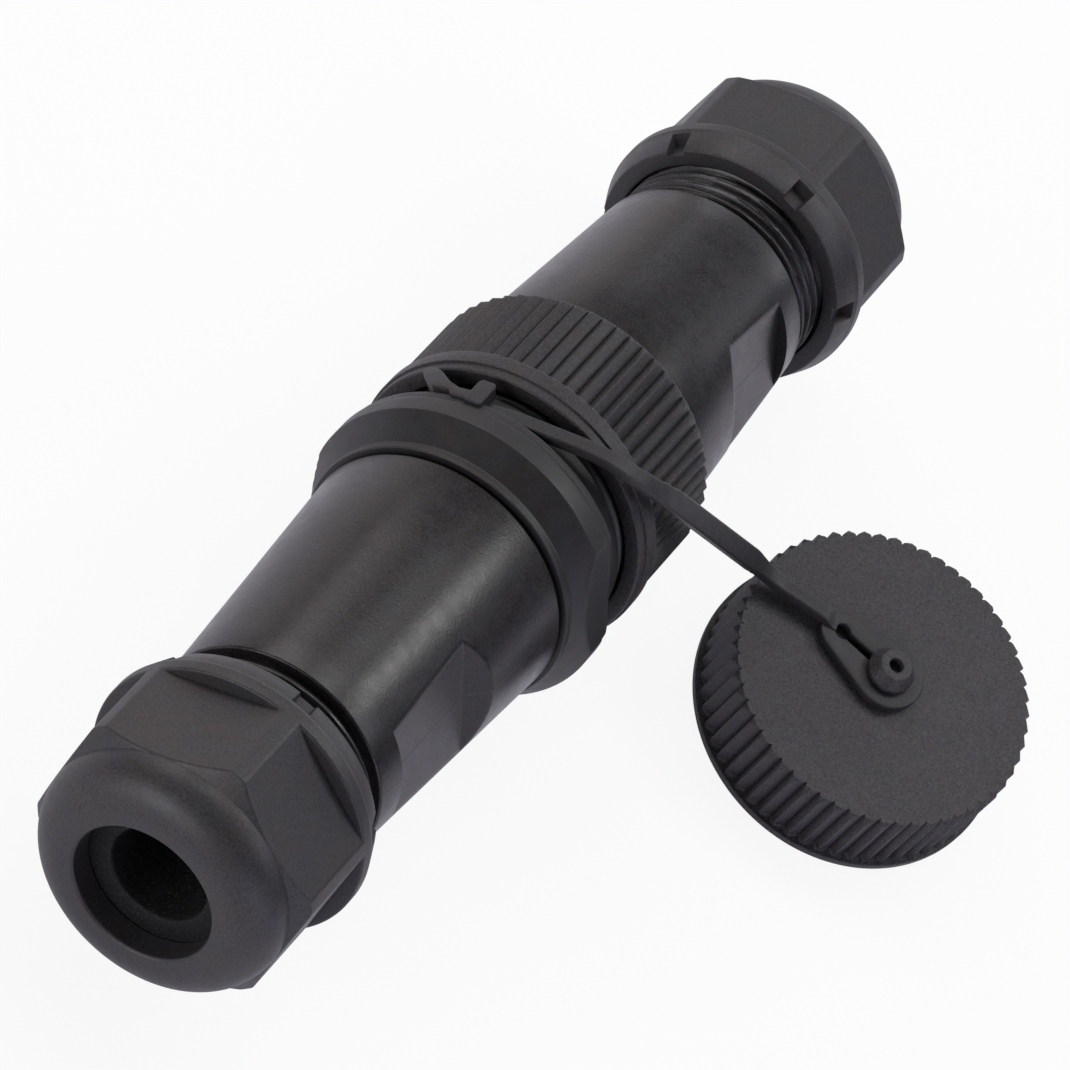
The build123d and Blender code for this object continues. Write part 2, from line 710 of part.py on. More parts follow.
def paddle():
    """Teardrop end of the strap with a hole for the button, a slot and a relief hole, on the cap's top."""
    end = Circle(PADDLE_END_RADIUS)
    neck = Pos(-PADDLE_REACH, 0) * Circle(PADDLE_NECK_RADIUS)
    outline = make_hull(end.edges() + neck.edges())
    outline -= Circle(BUTTON_STEM_DIAMETER / 2 + RUNNING_CLEARANCE)
    outline -= Pos(-PADDLE_REACH / 2, 0) * Rectangle(PADDLE_REACH, PADDLE_SLOT_WIDTH)
    outline -= Pos(-PADDLE_REACH, 0) * Circle(PADDLE_RELIEF_DIAMETER / 2)
    return cap_top_place * extrude(Pos(0, 0, SEAT_GAP) * outline, PADDLE_THICKNESS)


def ring_plate(outline, height):
    """Plate bent round the strap's ring, from an outline of (angle, reach past the ring) corners."""
    outer = strap_ring_outer + height
    middle = sum(angle for angle, reach in outline) / len(outline)
    corners = [(outer * tan(radians(angle - middle)), -reach) for angle, reach in outline]
    across = Plane((0, ring_back, 0), x_dir=(0, 0, 1), z_dir=(1, 0, 0))
    plate = extrude(across * make_face(Polyline(*corners, close=True)), 2 * outer)
    layer = tube(strap_ring_outer - STRAP_THICKNESS, outer, flange_back, coupling_front)
    return around(middle) * plate & layer


def strap_band():
    """Strap from its start round the ring to the paddle: its plan and its side view, intersected."""
    root_top = strap_ring_outer - STRAP_ROOT_DROP
    root_foot = root_top - STRAP_THICKNESS
    root_radius = (root_top + root_foot) / 2
    root_angle = radians(STRAP_ROOT_ANGLE)
    root = Vector(root_radius * cos(root_angle), ring_back + STRAP_ROOT_OFFSET, root_radius * sin(root_angle))
    end = Vector(
        CAP_SIDE_OFFSET - PADDLE_REACH - PADDLE_RELIEF_DIAMETER / 2,
        cap_y,
        cap_top + STRAP_CAP_GAP + STRAP_THICKNESS / 2,
    )
    out_x, out_y = STRAP_TURN_OUT
    in_x, in_y = STRAP_TURN_IN
    back_x = root_radius * (cos(root_angle) - cos(radians(STRAP_START_ANGLE)))
    plan = [
        (root.X - back_x, root.Y - back_x * out_y / out_x),
        (root.X + out_x, root.Y + out_y),
        (end.X - in_x, end.Y - in_y),
        (end.X, end.Y),
    ]
    side = [
        (root.X, root.Z),
        (root.X + STRAP_LEAD * sin(root_angle), root.Z - STRAP_LEAD * cos(root_angle)),
        (end.X - STRAP_FOOT_LENGTH, end.Z),
        (end.X, end.Z),
    ]
    plan_line = FilletPolyline(*plan, radius=[STRAP_TURN_OUT_RADIUS, STRAP_TURN_IN_RADIUS])
    side_line = FilletPolyline(*side, radius=[STRAP_CREST_RADIUS, STRAP_FOOT_RADIUS])
    reach = 2 * (end - root).length
    above = extrude(trace(plan_line, STRAP_WIDTH), reach, both=True)
    beside = Pos(0, root.Y, 0) * extrude(Plane.XZ * trace(side_line, STRAP_THICKNESS), reach, both=True)
    beside += sector(root_foot, root_top, flange_back, coupling_front, STRAP_ROOT_ANGLE, STRAP_START_ANGLE)
    return above & beside


def cap_strap():
    """Ring behind the flange, with its lug and hook, and the strap and paddle, in one moulding."""
    ring = tube(strap_ring_inner, strap_ring_outer, flange_back, ring_back)
    ring = flatted(ring, flange_flat - STRAP_RING_FLAT_STEP, flange_back, ring_back)
    ring += ring_plate(LUG_OUTLINE, LUG_HEIGHT)
    ring += ring_plate(HOOK_OUTLINE, HOOK_HEIGHT)
    return ring + strap_band() + paddle()


def write(name, shape):
    """One STEP file for a node."""
    shape.label = name
    export_step(shape, f"parts/{name}.step")


front_mouth_depth = front_shell_end - pin_insert_start + SEAT_GAP
rear_mouth_depth = stub_gasket_end - rear_shell_front

os.makedirs("parts", exist_ok=True)
write("front_gland_nut", front_gland_place * around(FRONT_NUT_TURN) * gland_nut())
write("front_gland_seal", front_gland_place * gland_seal())
write("front_clamp_cage", front_gland_place * clamp_cage())
write("front_shell", front_shell_place * shell(FRONT_SHELL_LENGTH, front_mouth_depth, FLAT_ANGLE))
write("front_shell_gasket", front_shell_gasket())
write("front_coupler", front_coupler())
write("interface_seal", interface_seal())
write("pin_insert", pin_insert())
write("contact_pins", Compound(spaced(contact_pin())))
write("pin_terminal_screws", Compound(spaced(terminal_screw(pin_screw_station))))
write("cap_strap", cap_strap())
write("cap", cap())
write("cap_gasket", cap_gasket())
write("coupling_ring", coupling_ring())
write("plug_body", plug_body())
write("socket_insert", socket_insert())
write("contact_sockets", Compound(spaced(contact_socket())))
write("socket_terminal_screws", Compound(spaced(terminal_screw(socket_screw_station))))
write("rear_shell_gasket", rear_shell_gasket())
write("rear_shell", rear_shell_place * shell(REAR_SHELL_LENGTH, rear_mouth_depth, 180 - FLAT_ANGLE))
write("rear_gland_nut", rear_gland_place * around(REAR_NUT_TURN) * gland_nut())
write("rear_gland_seal", rear_gland_place * gland_seal())
write("rear_clamp_cage", rear_gland_place * clamp_cage())
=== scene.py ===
"""Looks of a mated pair of cable connectors: moulded plastic, rubber, threads and ribs."""
from math import asin, cos, pi, radians, sin, sqrt, tan

import bmesh
import bpy
import numpy as np
from mathutils import Matrix, Vector
from numpy.linalg import norm


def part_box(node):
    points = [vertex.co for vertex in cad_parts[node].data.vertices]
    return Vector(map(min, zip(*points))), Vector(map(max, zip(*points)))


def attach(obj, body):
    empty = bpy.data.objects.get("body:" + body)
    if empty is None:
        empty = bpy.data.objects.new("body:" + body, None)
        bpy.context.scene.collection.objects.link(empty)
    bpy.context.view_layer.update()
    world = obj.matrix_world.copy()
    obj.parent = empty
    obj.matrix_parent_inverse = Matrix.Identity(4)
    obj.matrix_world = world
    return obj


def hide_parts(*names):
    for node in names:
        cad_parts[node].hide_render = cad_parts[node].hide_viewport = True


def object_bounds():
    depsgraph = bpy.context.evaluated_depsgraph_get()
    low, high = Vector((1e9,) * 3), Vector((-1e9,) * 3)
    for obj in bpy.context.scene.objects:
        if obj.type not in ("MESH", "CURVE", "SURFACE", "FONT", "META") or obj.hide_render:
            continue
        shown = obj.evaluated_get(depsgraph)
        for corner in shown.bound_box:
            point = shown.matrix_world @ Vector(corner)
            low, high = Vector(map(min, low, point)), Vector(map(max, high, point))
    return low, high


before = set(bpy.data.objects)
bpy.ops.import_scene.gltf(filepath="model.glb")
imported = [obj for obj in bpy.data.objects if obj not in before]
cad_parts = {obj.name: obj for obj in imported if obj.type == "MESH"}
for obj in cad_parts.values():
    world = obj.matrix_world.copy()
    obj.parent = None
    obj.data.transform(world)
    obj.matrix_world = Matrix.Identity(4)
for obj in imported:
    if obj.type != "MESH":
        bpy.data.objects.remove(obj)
cad_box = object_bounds()

# Millimetres and degrees, with metres for the lamps and the floor. Meshes are made about the axis, Y.
MM = 0.001

# Camera, from the photograph's perspective
PHOTO_WIDTH = 1070
FOCAL_PIXELS = 6807
PIXELS_PER_MM = 10.719
CAMERA_ELEVATION = 45.99
CAMERA_ROLL = 42.246
CAMERA_AIM = (4.36, 61.17, 0.0)
SENSOR_WIDTH = 36.0

# Floor and surroundings
FLOOR_HALF = 6.0
FLOOR_COLOUR = (0.92, 0.92, 0.94)
FLOOR_ROUGHNESS = 0.9
FLOOR_SEEN = 0.9
FLOOR_SEEN_TINT = (1.0, 1.0, 1.0)
FLOOR_MIRRORED = 0.48
FLOOR_MIRRORED_TINT = (0.98, 0.94, 1.1)
WORLD_LIGHT = (0.1, 0.1, 0.105)
WORLD_SEEN = (0.95, 0.95, 0.95)

# Lamps: name, azimuth, elevation, size in metres, watts and colour
LAMP_DISTANCE = 0.6
LAMPS = (
    ("key", 57, 50, (0.16, 0.16), 0.58, (1.0, 0.99, 0.98)),
    ("right", 20, 45, (0.26, 0.26), 0.6, (0.86, 0.87, 1.0)),
    ("left", 157, 43, (0.36, 0.36), 1.1, (1.0, 0.93, 0.94)),
    ("top", 105, 70, (0.26, 0.26), 0.7, (1.0, 0.98, 0.98)),
    ("back", 90, 14, (0.6, 0.2), 0.8, (0.9, 0.91, 1.0)),
    ("front", 245, 15, (0.5, 0.2), 1.6, (1.0, 0.97, 1.0)),
    ("side", 325, 10, (0.5, 0.15), 0.62, (0.78, 0.75, 1.0)),
    ("edge", 138, 8, (0.4, 0.2), 0.2, (1.0, 0.91, 0.87)),
)

# Mesh fineness; values in _ROWS are a count, or margins and then a count or a step
ARC_STEPS = 5
SHARP_EDGE = 42.0
MERGE_DISTANCE = 0.002
ROUND_ANGLES = 240
EDGE_OFFSETS = (0.0, 0.15, 0.35, 0.7)
STEP_GAP = 0.03
ANGLE_ROOM = 0.4
FILLET_ROOM = 0.49
LEAST_FACING = 0.2
SQUARE = ((-1, -1), (1, -1), (1, 1), (-1, 1))
AS_MADE = Matrix.Identity(4)

# Fillets of outline corners
HAIR = 0.05
TINY = 0.1
FINE = 0.12
SLIGHT = 0.15
SMALL = 0.2
SOFT = 0.25
WIDE = 0.3

# Widths over which two surfaces blend
EDGE_BLEND = 0.12
FLANGE_BLEND = 0.1
FLAT_BLEND = 0.05

# Gland nut
HEX_SECTOR = 60.0
NUT_FLAT = 12.5
NUT_NOSE_RADIUS = 8.2
NUT_NOSE_WALL = 2.6
NUT_DOME_STEP = 0.06
NUT_DOME_ROWS = 26
NUT_CORNER_CHAMFER = 1.2
NUT_CHAMFER_ROWS = (0.06, 0.94, 15)
NUT_ROW_STEP = 0.8
COLLAR_RADIUS = 14.0
COLLAR_LENGTH = 3.95
COLLAR_CHAMFER = (1.0, 2.6)
NOTCH_SIZE = (2.0, 2.1, 1.5)
NOTCH_DROP = 0.2
NOTCH_EDGE = 0.7
NUT_MOUTH_LENGTH = 1.5
NUT_CAGE_BORE = 10.4
NUT_CONE_START = 7.6
NUT_CONE_END = 9.3
NUT_THREAD_START = 11.9
NUT_ANGLES = 360
NUT_CORNER_OFFSETS = (-0.8, -0.4, 0.0, 0.4, 0.8)
NOTCH_OFFSETS = (-0.35, -0.12, 0.12, 0.35)
HOLE_RADIUS = 7.0
HOLE_CHAMFER = 0.25
HOLE_EDGE = 0.5
GLAND_BORE = 11.3
FRONT_NUT_TURN = 2.5
REAR_NUT_TURN = 5.0
CORNER_ANGLES = [radians(HEX_SECTOR * (index + 0.5)) for index in range(6)]
FLAT_NORMALS = [radians(HEX_SECTOR * index) for index in range(6)]

# Gland seal
SEAL_RADIUS = 7.6
SEAL_BORE = 4.85
SEAL_COLLAR_RADIUS = 9.2
SEAL_COLLAR_LENGTH = 1.8
SEAL_CHAMFER = 0.6
SEAL_MOUTH_FILLET = 0.35
SEAL_GRIP_ROWS = (0.8, 0.7, 0.3)
SEAL_GRIP_DEPTH = 0.03
SEAL_GRIP_PITCH = 1.2
SEAL_ANGLES = 128

# Shells
NECK_LENGTH = 8.8
NECK_ROOT = 10.45
NECK_CREST = 11.15
NECK_PITCH = 1.5
NECK_LEAD_IN = (0.4, 1.6)
NECK_RUN_OUT = (-1.0, -0.25)
NECK_END_GAP = 0.05
NECK_ROW_STEP = 0.11
COUNTERBORE = 9.55
COUNTERBORE_DEPTH = 2.6
NECK_BORE = 8.4
SHOULDER_RADIUS = 11.55
SHOULDER_WALL = 2.2
SHELL_CAVITY = 9.9
SHELL_CAVITY_FILLET = 0.5
SHELL_MOUTH = 11.25
SHELL_MOUTH_MARGIN = 0.2
FLAT_ANGLE = 30.0
FLAT_PAIR = [radians(FLAT_ANGLE + turn) for turn in (0, 180)]
SHELL_FLAT = 10.7
FLAT_START = 3.5
FLAT_START_SHIFTS = (-0.05, -0.02, 0.02, 0.05)
FLAT_ROWS = (0.5, 0.3, 8)
FLAT_RAMP_ANGLE = 40.0
FLAT_MOUTH_MARGIN = 1.7
RAMP_EDGE_ROWS = (0.12, 4)
RAMP_ROWS = (0.3, 16)
PARTING_RIDGE = 0.02
PARTING_WIDTH = 0.35
PARTING_REACH = 1.5

# Front coupler
TUBE_RADIUS = 11.1
INSERT_BORE = 9.25
INSERT_FLANGE_BORE = 10.15
INSERT_FLANGE = 2.6
INSERT_BORE_ROW = 0.5
LIP_RADIUS = 13.8
LIP_THICKNESS = 0.9
HUB_RADIUS = 13.6
HUB_TAIL = 3.4
BEAD_RADIUS = 13.85
BEAD_STATIONS = (0.05, 0.65)
FLANGE_CONE_LENGTH = 2.7
FLANGE_THICKNESS = 2.3
FLANGE_FLAT = 14.6
COUPLER_ROW_STEP = 0.5
COUPLER_OFFSETS = (0.0, 0.2, 0.4, 0.8)
SOCKET_RADIUS = 11.4
KEYWAY_RADIUS = 12.0
KEYWAY_WIDTH = 3.0
KEYWAY_START = 1.2
KEYWAY_EDGE = 0.8
COUPLING_ROOT = 12.6
COUPLING_CREST = 13.2
COUPLING_PITCH = 2.0
COUPLING_LEAD_IN = (0.0, 1.0)
COUPLING_RUN_OUT = (1.6, 0.4)
COUPLING_ROWS = (0.15, 0.3, 0.16)
THREAD_FLANK = (0.2, 0.8)

# Coupling ring
COUPLING_BORE = 13.5
STUB_HOLE = 11.4
COUPLING_LIP = 1.65
BORE_STATIONS = (1.0, 2.0)
RIM_LENGTH = 3.0
RIM_FRONT = 1.1
RIM_STEP = 0.25
RING_RIB_TIP = 15.1
RING_RIB_DEPTH = 0.55
RING_RIB_COUNT = 60
RING_CHAMFER = 0.7
RING_RIB_RISE = ((0.0, 0.0), (0.12, 0.55), (0.3, 0.9), (0.5, 1.0))
RING_ROWS = (1.5, 1.2, 5)
RING_CHAMFER_ROWS = 8
RING_FACE_MARGIN = 0.3

# Ribs, as shares of their pitch
RIB_TIP_SHARE = 0.3
RIB_TIP_BLEND = 0.1
RIB_ROOT_SHARES = (0.08, 0.1)
RIB_ROOT_CREASE = 0.12
RIB_SAMPLES = (0.0, 0.04, 0.08, 0.17, 0.26, 0.29, 0.32, 0.38, 0.56, 0.75, 0.9, 0.95)

# Cap
CAP_CENTRE_X = 38.3
CAP_END_OFFSET = 26.2
CAP_TILT = 10.0
CAP_HEIGHT = 9.15
CAP_RADIUS = 15.75
CAP_TOP_WALL = 1.95
CAP_BASE_RADIUS = 16.1
CAP_BASE_THICKNESS = 0.9
CAP_RIB_COUNT = 58
CAP_RIB_DEPTH = 0.75
CAP_CHAMFER = 0.5
CAP_RIB_FOOT = ((0.25, 0.08), (0.1, 0.35), (0.0, 0.9))
CAP_ROWS = (0.6, 0.5, 5)
CAP_CHAMFER_ROWS = 7
CAP_THREAD_DEPTH = 0.4
CAP_LEAD_IN = (0.6, 1.4)
CAP_RUN_OUT = (2.4, 1.4)
CAP_THREAD_ROWS = (0.5, 1.2, 0.2)
CAP_ROOF_ROW = 1.1
CAP_POLES = (0.2, 0.4)
BUTTON_STEM = 1.5
STEM_HEIGHT = 1.4
BUTTON_HEAD = 2.35
BUTTON_CROWN = 1.6
HEAD_HEIGHT = 1.6
BUTTON_EDGE = 0.5
BUTTON_HOLE = 0.725
BUTTON_HOLE_DEPTH = 1.2

# Strap
STRAP_RING = (13.75, 15.5)
STRAP_RING_WIDTH = 1.1
STRAP_RING_FLAT = 14.4
STRAP_WIDTH = 1.65
STRAP_THICKNESS = 1.1
STRAP_EDGE = 0.2
STRAP_CAP_GAP = 0.7
STRAP_ROOT_RADIUS = 14.9
STRAP_ROOT_OFFSET = 0.8
STRAP_START_ANGLE = 115.0
STRAP_ROOT_ANGLE = 101.0
STRAP_ROOT_STEPS = 8
STRAP_LEAD = 11.2
STRAP_CREST_RADIUS = 11.0
STRAP_FOOT_LENGTH = 8.6
STRAP_FOOT_RADIUS = 5.0
STRAP_FOOT_TIP = 1.6
STRAP_FOOT_DROP = 1.2
STRAP_TURN_OUT = (11.7, 3.9, 12.0)
STRAP_TURN_IN = (9.1, 1.9, 5.0)
STRAP_STEP = 0.35
LUG_OUTLINE = ((117.5, -0.8), (124.0, -0.8), (124.0, 2.2), (123.0, 2.6), (118.5, 2.6), (117.5, 2.2))
LUG_LEVELS = (14.4, 16.0)
HOOK_OUTLINE = (
    (123.0, -0.5), (129.5, -0.5), (131.0, 0.1), (138.5, 0.35),
    (144.0, 1.6), (148.0, 3.0), (147.5, 3.7), (143.5, 3.6),
    (139.5, 2.9), (133.5, 1.45), (128.5, 0.75), (123.0, 0.75),
)
HOOK_LEVELS = (14.4, 15.9)
PLATE_BEVEL = 0.16
PLATE_BEVEL_STEPS = 3
PLATE_CUT_TURN = 1.5
PLATE_CUT_GAP = 1e-5
PADDLE_GAP = 0.2
PADDLE_THICKNESS = 1.0
PADDLE_END = 3.7
PADDLE_NECK = 2.3
PADDLE_REACH = 5.9
PADDLE_RELIEF = 0.8
PADDLE_SLOT = 0.85
PADDLE_HOLE = 1.8
PADDLE_EDGE = 0.15
PADDLE_EDGE_STEPS = 4
PADDLE_END_STEPS = 49
PADDLE_NECK_STEPS = 25
PADDLE_HOLE_STEPS = 41

# Plastics: colour, roughness, grain size and depth, share of flecks, specular level and share of tint
PLASTICS = {
    "gland_plastic": ((0.0302, 0.0292, 0.03), 0.46, 0.3, 0.01, 0.6, 0.45, 1.0),
    "shell_plastic": ((0.0195, 0.0182, 0.0188), 0.3, 0.28, 0.014, 0.9, 0.41, 1.0),
    # The coupler's darker colour is painted shade for its shadowed flange cone; by its slot it is the
    # shell's plastic.
    "coupler_painted_shade_plastic": ((0.0105, 0.0098, 0.0102), 0.46, 0.3, 0.012, 0.6, 0.55, 1.0),
    "ring_plastic": ((0.03, 0.0286, 0.0296), 0.48, 0.26, 0.024, 0.9, 0.4, 1.0),
    "cap_plastic": ((0.037, 0.0358, 0.0382), 0.52, 0.26, 0.026, 0.9, 0.4, 0.4),
    "strap_plastic": ((0.023, 0.0222, 0.0232), 0.48, 0.28, 0.012, 0.6, 0.4, 1.0),
    "cage_plastic": ((0.022, 0.022, 0.022), 0.55, 0.2, 0.01, 0.2, 0.4, 1.0),
    "insert_plastic": ((0.035, 0.035, 0.035), 0.55, 0.2, 0.01, 0.2, 0.4, 1.0),
}

# Metals: colour and roughness
METALS = {"contact_brass": ((0.78, 0.56, 0.25), 0.3), "screw_steel": ((0.58, 0.58, 0.58), 0.32)}

# Surface detail: noise sizes and depths, noise ranges, and factors on the base colour
TINT_SIZE = 2.5
TINT_RANGE = (0.35, 0.65)
TINT_WARM = (1.14, 0.97, 0.98)
TINT_COOL = (0.94, 0.97, 1.12)
FLECK_SIZE = 0.24
FLECK_KINDS = (((0.5, 0.3), 0.3), ((0.5, 0.7), 1.7))
DUST_SIZE = 0.4
DUST_RANGE = (0.79, 0.84)
DUST_SHARE = 0.5
DUST_LIGHT = 3.5
GLOSS_SIZE = 1.4
GLOSS_RANGE = (0.3, 0.7)
GLOSS_SPREAD = 0.03
PORE_SIZE = 0.22
PORE_DEPTH = 0.08
PORE_TALC_RANGE = (0.5, 0.72)
RUBBER_BLACK = (0.005, 0.005, 0.006)
RUBBER_TALC = (0.06, 0.06, 0.066)
RUBBER_ROUGHNESS = (0.6, 0.85)
RUBBER_SPECULAR = 0.3
TARNISH_SIZE = 1.2
TARNISH_RANGE = (0.35, 0.7)
TARNISH_DARK = 0.7
TOOL_RING_SIZE = 0.3
TOOL_RING_STRETCH = (8.0, 0.4, 8.0)
TOOL_RING_DEPTH = 0.01
METAL_GLOSS_SIZE = 0.6
METAL_GLOSS_SPREAD = (-0.08, 0.1)


def span(node):
    """First and last station of a CAD node, in millimetres."""
    low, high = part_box(node)
    return low.y / MM, high.y / MM


# Stations, from the frame
front_nose, front_nut_end = span("front_gland_nut")
rear_nose = span("rear_gland_nut")[1]
front_neck_end, front_shell_end = span("front_shell")
rear_shell_front, rear_neck_end = span("rear_shell")
front_shoulder = front_neck_end + NECK_LENGTH
rear_shoulder = rear_neck_end - NECK_LENGTH
coupler_start, coupler_mouth = span("front_coupler")
coupler_face = span("front_shell_gasket")[1]
lip_end = coupler_face + LIP_THICKNESS
flange_front = lip_end + FLANGE_CONE_LENGTH
flange_back = flange_front + FLANGE_THICKNESS
ring_back = span("interface_seal")[0]
coupling_front, coupling_back = span("coupling_ring")
stub_gasket_end = span("rear_shell_gasket")[1]
seal_start, seal_end = span("front_gland_seal")
nut_length = front_nut_end - front_nose
shell_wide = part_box("front_shell")[1].z / MM
flange_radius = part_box("front_coupler")[1].z / MM
rim_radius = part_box("coupling_ring")[1].z / MM
floor_level = cad_box[0].z / MM

# Placements: the rear gland and shell face the other way
half_turn = Matrix.Rotation(pi, 4, "Z")
front_nut_turn = Matrix.Rotation(-radians(FRONT_NUT_TURN), 4, "Y")
rear_nut_turn = Matrix.Rotation(-radians(REAR_NUT_TURN), 4, "Y")
front_gland_place = Matrix.Translation((0, front_nose, 0)) @ front_nut_turn
rear_gland_place = Matrix.Translation((0, rear_nose, 0)) @ half_turn @ rear_nut_turn
front_shell_place = Matrix.Translation((0, front_shoulder, 0))
rear_shell_place = Matrix.Translation((0, rear_shoulder, 0)) @ half_turn
cap_tilt = radians(CAP_TILT)
cap_y = ring_back + CAP_END_OFFSET
cap_top = floor_level + CAP_BASE_RADIUS * sin(cap_tilt) + CAP_HEIGHT * cos(cap_tilt)
cap_place = Matrix.Translation((CAP_CENTRE_X, cap_y, cap_top)) @ Matrix.Rotation(cap_tilt, 4, "X")
stand_up = Matrix.Rotation(pi / 2, 4, "X")


# Shapes by formula


def ease(value, start, end):
    """Smooth step from 0 at start to 1 at end."""
    share = np.clip((value - start) / (end - start), 0.0, 1.0)
    return share * share * (3.0 - 2.0 * share)


def soft_min(first, second, width):
    """Smaller of two values, with the crossing rounded over a width."""
    share = np.clip(0.5 + 0.5 * (second - first) / width, 0.0, 1.0)
    return second + (first - second) * share - width * share * (1.0 - share)


def away(angles, centre):
    """Distance of each angle from a centre, the short way."""
    return np.abs((angles - centre + pi) % (2 * pi) - pi)


def beside(centres, shift):
    """Angles at a shift to either side of some centres."""
    return [centre + side * shift for centre in centres for side in (-1, 1)]


def angle_ring(count, centres=(), offsets=EDGE_OFFSETS):
    """Even angles, with closer ones at offsets in degrees beside some centres."""
    even = np.arange(count) * 2 * pi / count
    if not len(centres):
        return even
    extra = np.concatenate([beside(centres, radians(offset)) for offset in offsets])
    extra = np.unique(np.round(extra % (2 * pi), 6))
    room = ANGLE_ROOM * 2 * pi / count
    kept = [angle for angle in even if away(extra, angle).min() > room]
    return np.sort(np.concatenate([extra, kept]))


def flats_limit(distance, angles, normals):
    """Radius at each angle of flats at a distance from the axis."""
    facing = [np.maximum(np.cos(angles - normal), LEAST_FACING) for normal in normals]
    return distance / np.max(facing, axis=0)


def inside(angles, centre, half_width, edge):
    """1 within a half width of a centre, 0 outside, eased over an edge."""
    return 1.0 - ease(away(angles, centre), half_width - edge / 2, half_width + edge / 2)


def thread_height(angles, station, pitch):
    """Height, from 0 to 1, of a right-hand thread at a station."""
    phase = (station / pitch + angles / (2 * pi)) % 1.0
    return 1.0 - ease(np.abs(phase - 0.5) * 2, *THREAD_FLANK)


def thread_fade(station, lead_in, run_out):
    """Share of a thread's depth between its lead-in and run-out."""
    return ease(station, *lead_in) * (1.0 - ease(station, *run_out))


def thread_rows(angles, stations, radii, pitch, lead_in, run_out):
    """Rows of an outer thread between its root and crest radii."""
    root, crest = radii
    rows = []
    for station in stations:
        height = thread_height(angles, station, pitch) * thread_fade(station, lead_in, run_out)
        rows.append((root + (crest - root) * height, station))
    return rows


def saw_radius(angles, tip, depth, count):
    """Radius of sawtooth ribs with a crease at each root."""
    phase = (-angles * count / (2 * pi)) % 1.0
    rising = phase / RIB_TIP_SHARE
    falling = (1.0 - phase) / (1.0 - RIB_TIP_SHARE)
    height = np.clip(soft_min(rising, falling, RIB_TIP_BLEND), 0.0, 1.0)
    after_root, before_root = RIB_ROOT_SHARES
    root = np.maximum(0.0, 1.0 - np.minimum(phase / after_root, (1.0 - phase) / before_root))
    return tip - depth * (1.0 - height) - RIB_ROOT_CREASE * root


def saw_angles(count):
    """Angles that follow every rib's root, flanks and tip."""
    phases = np.add.outer(np.arange(count), np.array(RIB_SAMPLES)).ravel()
    return np.sort((-phases / count * 2 * pi) % (2 * pi))


def rounded(corners, closed=False):
    """Points along an outline of (x, y, fillet) corners."""
    points = []
    count = len(corners)
    for index, (x, y, fillet) in enumerate(corners):
        here = np.array((x, y), float)
        if fillet == 0 or (not closed and index in (0, count - 1)):
            points.append(here)
            continue
        before = np.array(corners[index - 1][:2], float) - here
        after = np.array(corners[(index + 1) % count][:2], float) - here
        room = FILLET_ROOM * min(norm(before), norm(after))
        before /= norm(before)
        after /= norm(after)
        turn = pi - np.arccos(np.clip(before @ after, -1.0, 1.0))
        reach = min(fillet * tan(turn / 2), room)
        radius = reach / tan(turn / 2)
        middle = (before + after) / norm(before + after)
        centre = here + middle * radius / cos(turn / 2)
        start = here + reach * before - centre
        end = here + reach * after - centre
        for share in np.linspace(0.0, 1.0, ARC_STEPS + 1):
            points.append(centre + (sin((1 - share) * turn) * start + sin(share * turn) * end) / sin(turn))
    return points


def spaced(points, step):
    """A line with points added, at most a step apart."""
    line = [points[0]]
    for point in points[1:]:
        parts = max(1, int(np.ceil(norm(point - line[-1]) / step)))
        start = line[-1]
        line.extend(start + (point - start) * (part + 1) / parts for part in range(parts))
    return np.array(line)


# Meshes


def band_faces(count, row, next_row):
    """Faces of a closed band between two rows of points."""
    steps = np.arange(count)
    after = (steps + 1) % count
    low, high = row * count, next_row * count
    return np.stack([low + steps, low + after, high + after, high + steps], 1).tolist()


def skin(name, rows, angles, place=AS_MADE, closed=True):
    """Object about Y from rows of (radius, station), numbers or arrays; an open one ends on the axis."""
    count = len(angles)
    layers = []
    for radius, station in rows:
        radius = np.broadcast_to(radius, count)
        level = np.broadcast_to(station, count)
        layers.append(np.stack([radius * np.cos(angles), level, radius * np.sin(angles)], 1))
    points = np.concatenate(layers).tolist()
    faces = []
    for row in range(len(rows) if closed else len(rows) - 1):
        faces.extend(band_faces(count, row, (row + 1) % len(rows)))
    if not closed:
        steps = np.arange(count)
        after = (steps + 1) % count
        for row, flip in ((0, True), (len(rows) - 1, False)):
            pole = len(points)
            points.append((0.0, float(np.mean(rows[row][1])), 0.0))
            base = row * count
            fan = np.stack([base + after, base + steps, np.full(count, pole)], 1)
            faces.extend((fan[:, ::-1] if flip else fan).tolist())
    return mesh_object(name, points, faces, place)


def clean(mesh):
    """Merges doubles, drops empty faces, turns faces outwards and shades."""
    work = bmesh.new()
    work.from_mesh(mesh)
    bmesh.ops.remove_doubles(work, verts=work.verts, dist=MERGE_DISTANCE * MM)
    bmesh.ops.dissolve_degenerate(work, edges=work.edges, dist=MERGE_DISTANCE * MM)
    bmesh.ops.recalc_face_normals(work, faces=work.faces)
    work.to_mesh(mesh)
    work.free()
    mesh.shade_smooth()
    mesh.set_sharp_from_angle(angle=radians(SHARP_EDGE))


def add_object(name, data):
    """Object of some data, put into the scene."""
    made = bpy.data.objects.new(name, data)
    bpy.context.scene.collection.objects.link(made)
    return made


def placed(name, mesh, place):
    """Object of a mesh in millimetres, placed in the frame."""
    mesh.transform(Matrix.Scale(MM, 4) @ place)
    clean(mesh)
    return add_object(name, mesh)


def mesh_object(name, points, faces, place=AS_MADE):
    """Object from points and faces."""
    mesh = bpy.data.meshes.new(name)
    mesh.from_pydata(points, [], faces)
    return placed(name, mesh, place)


def worked_object(name, work, place=AS_MADE):
    """Object from a worked mesh, which is freed."""
    mesh = bpy.data.meshes.new(name)
    work.to_mesh(mesh)
    work.free()
    return placed(name, mesh, place)


def paint(made, material):
    """Gives an object one material."""
    made.data.materials.clear()
    made.data.materials.append(material)


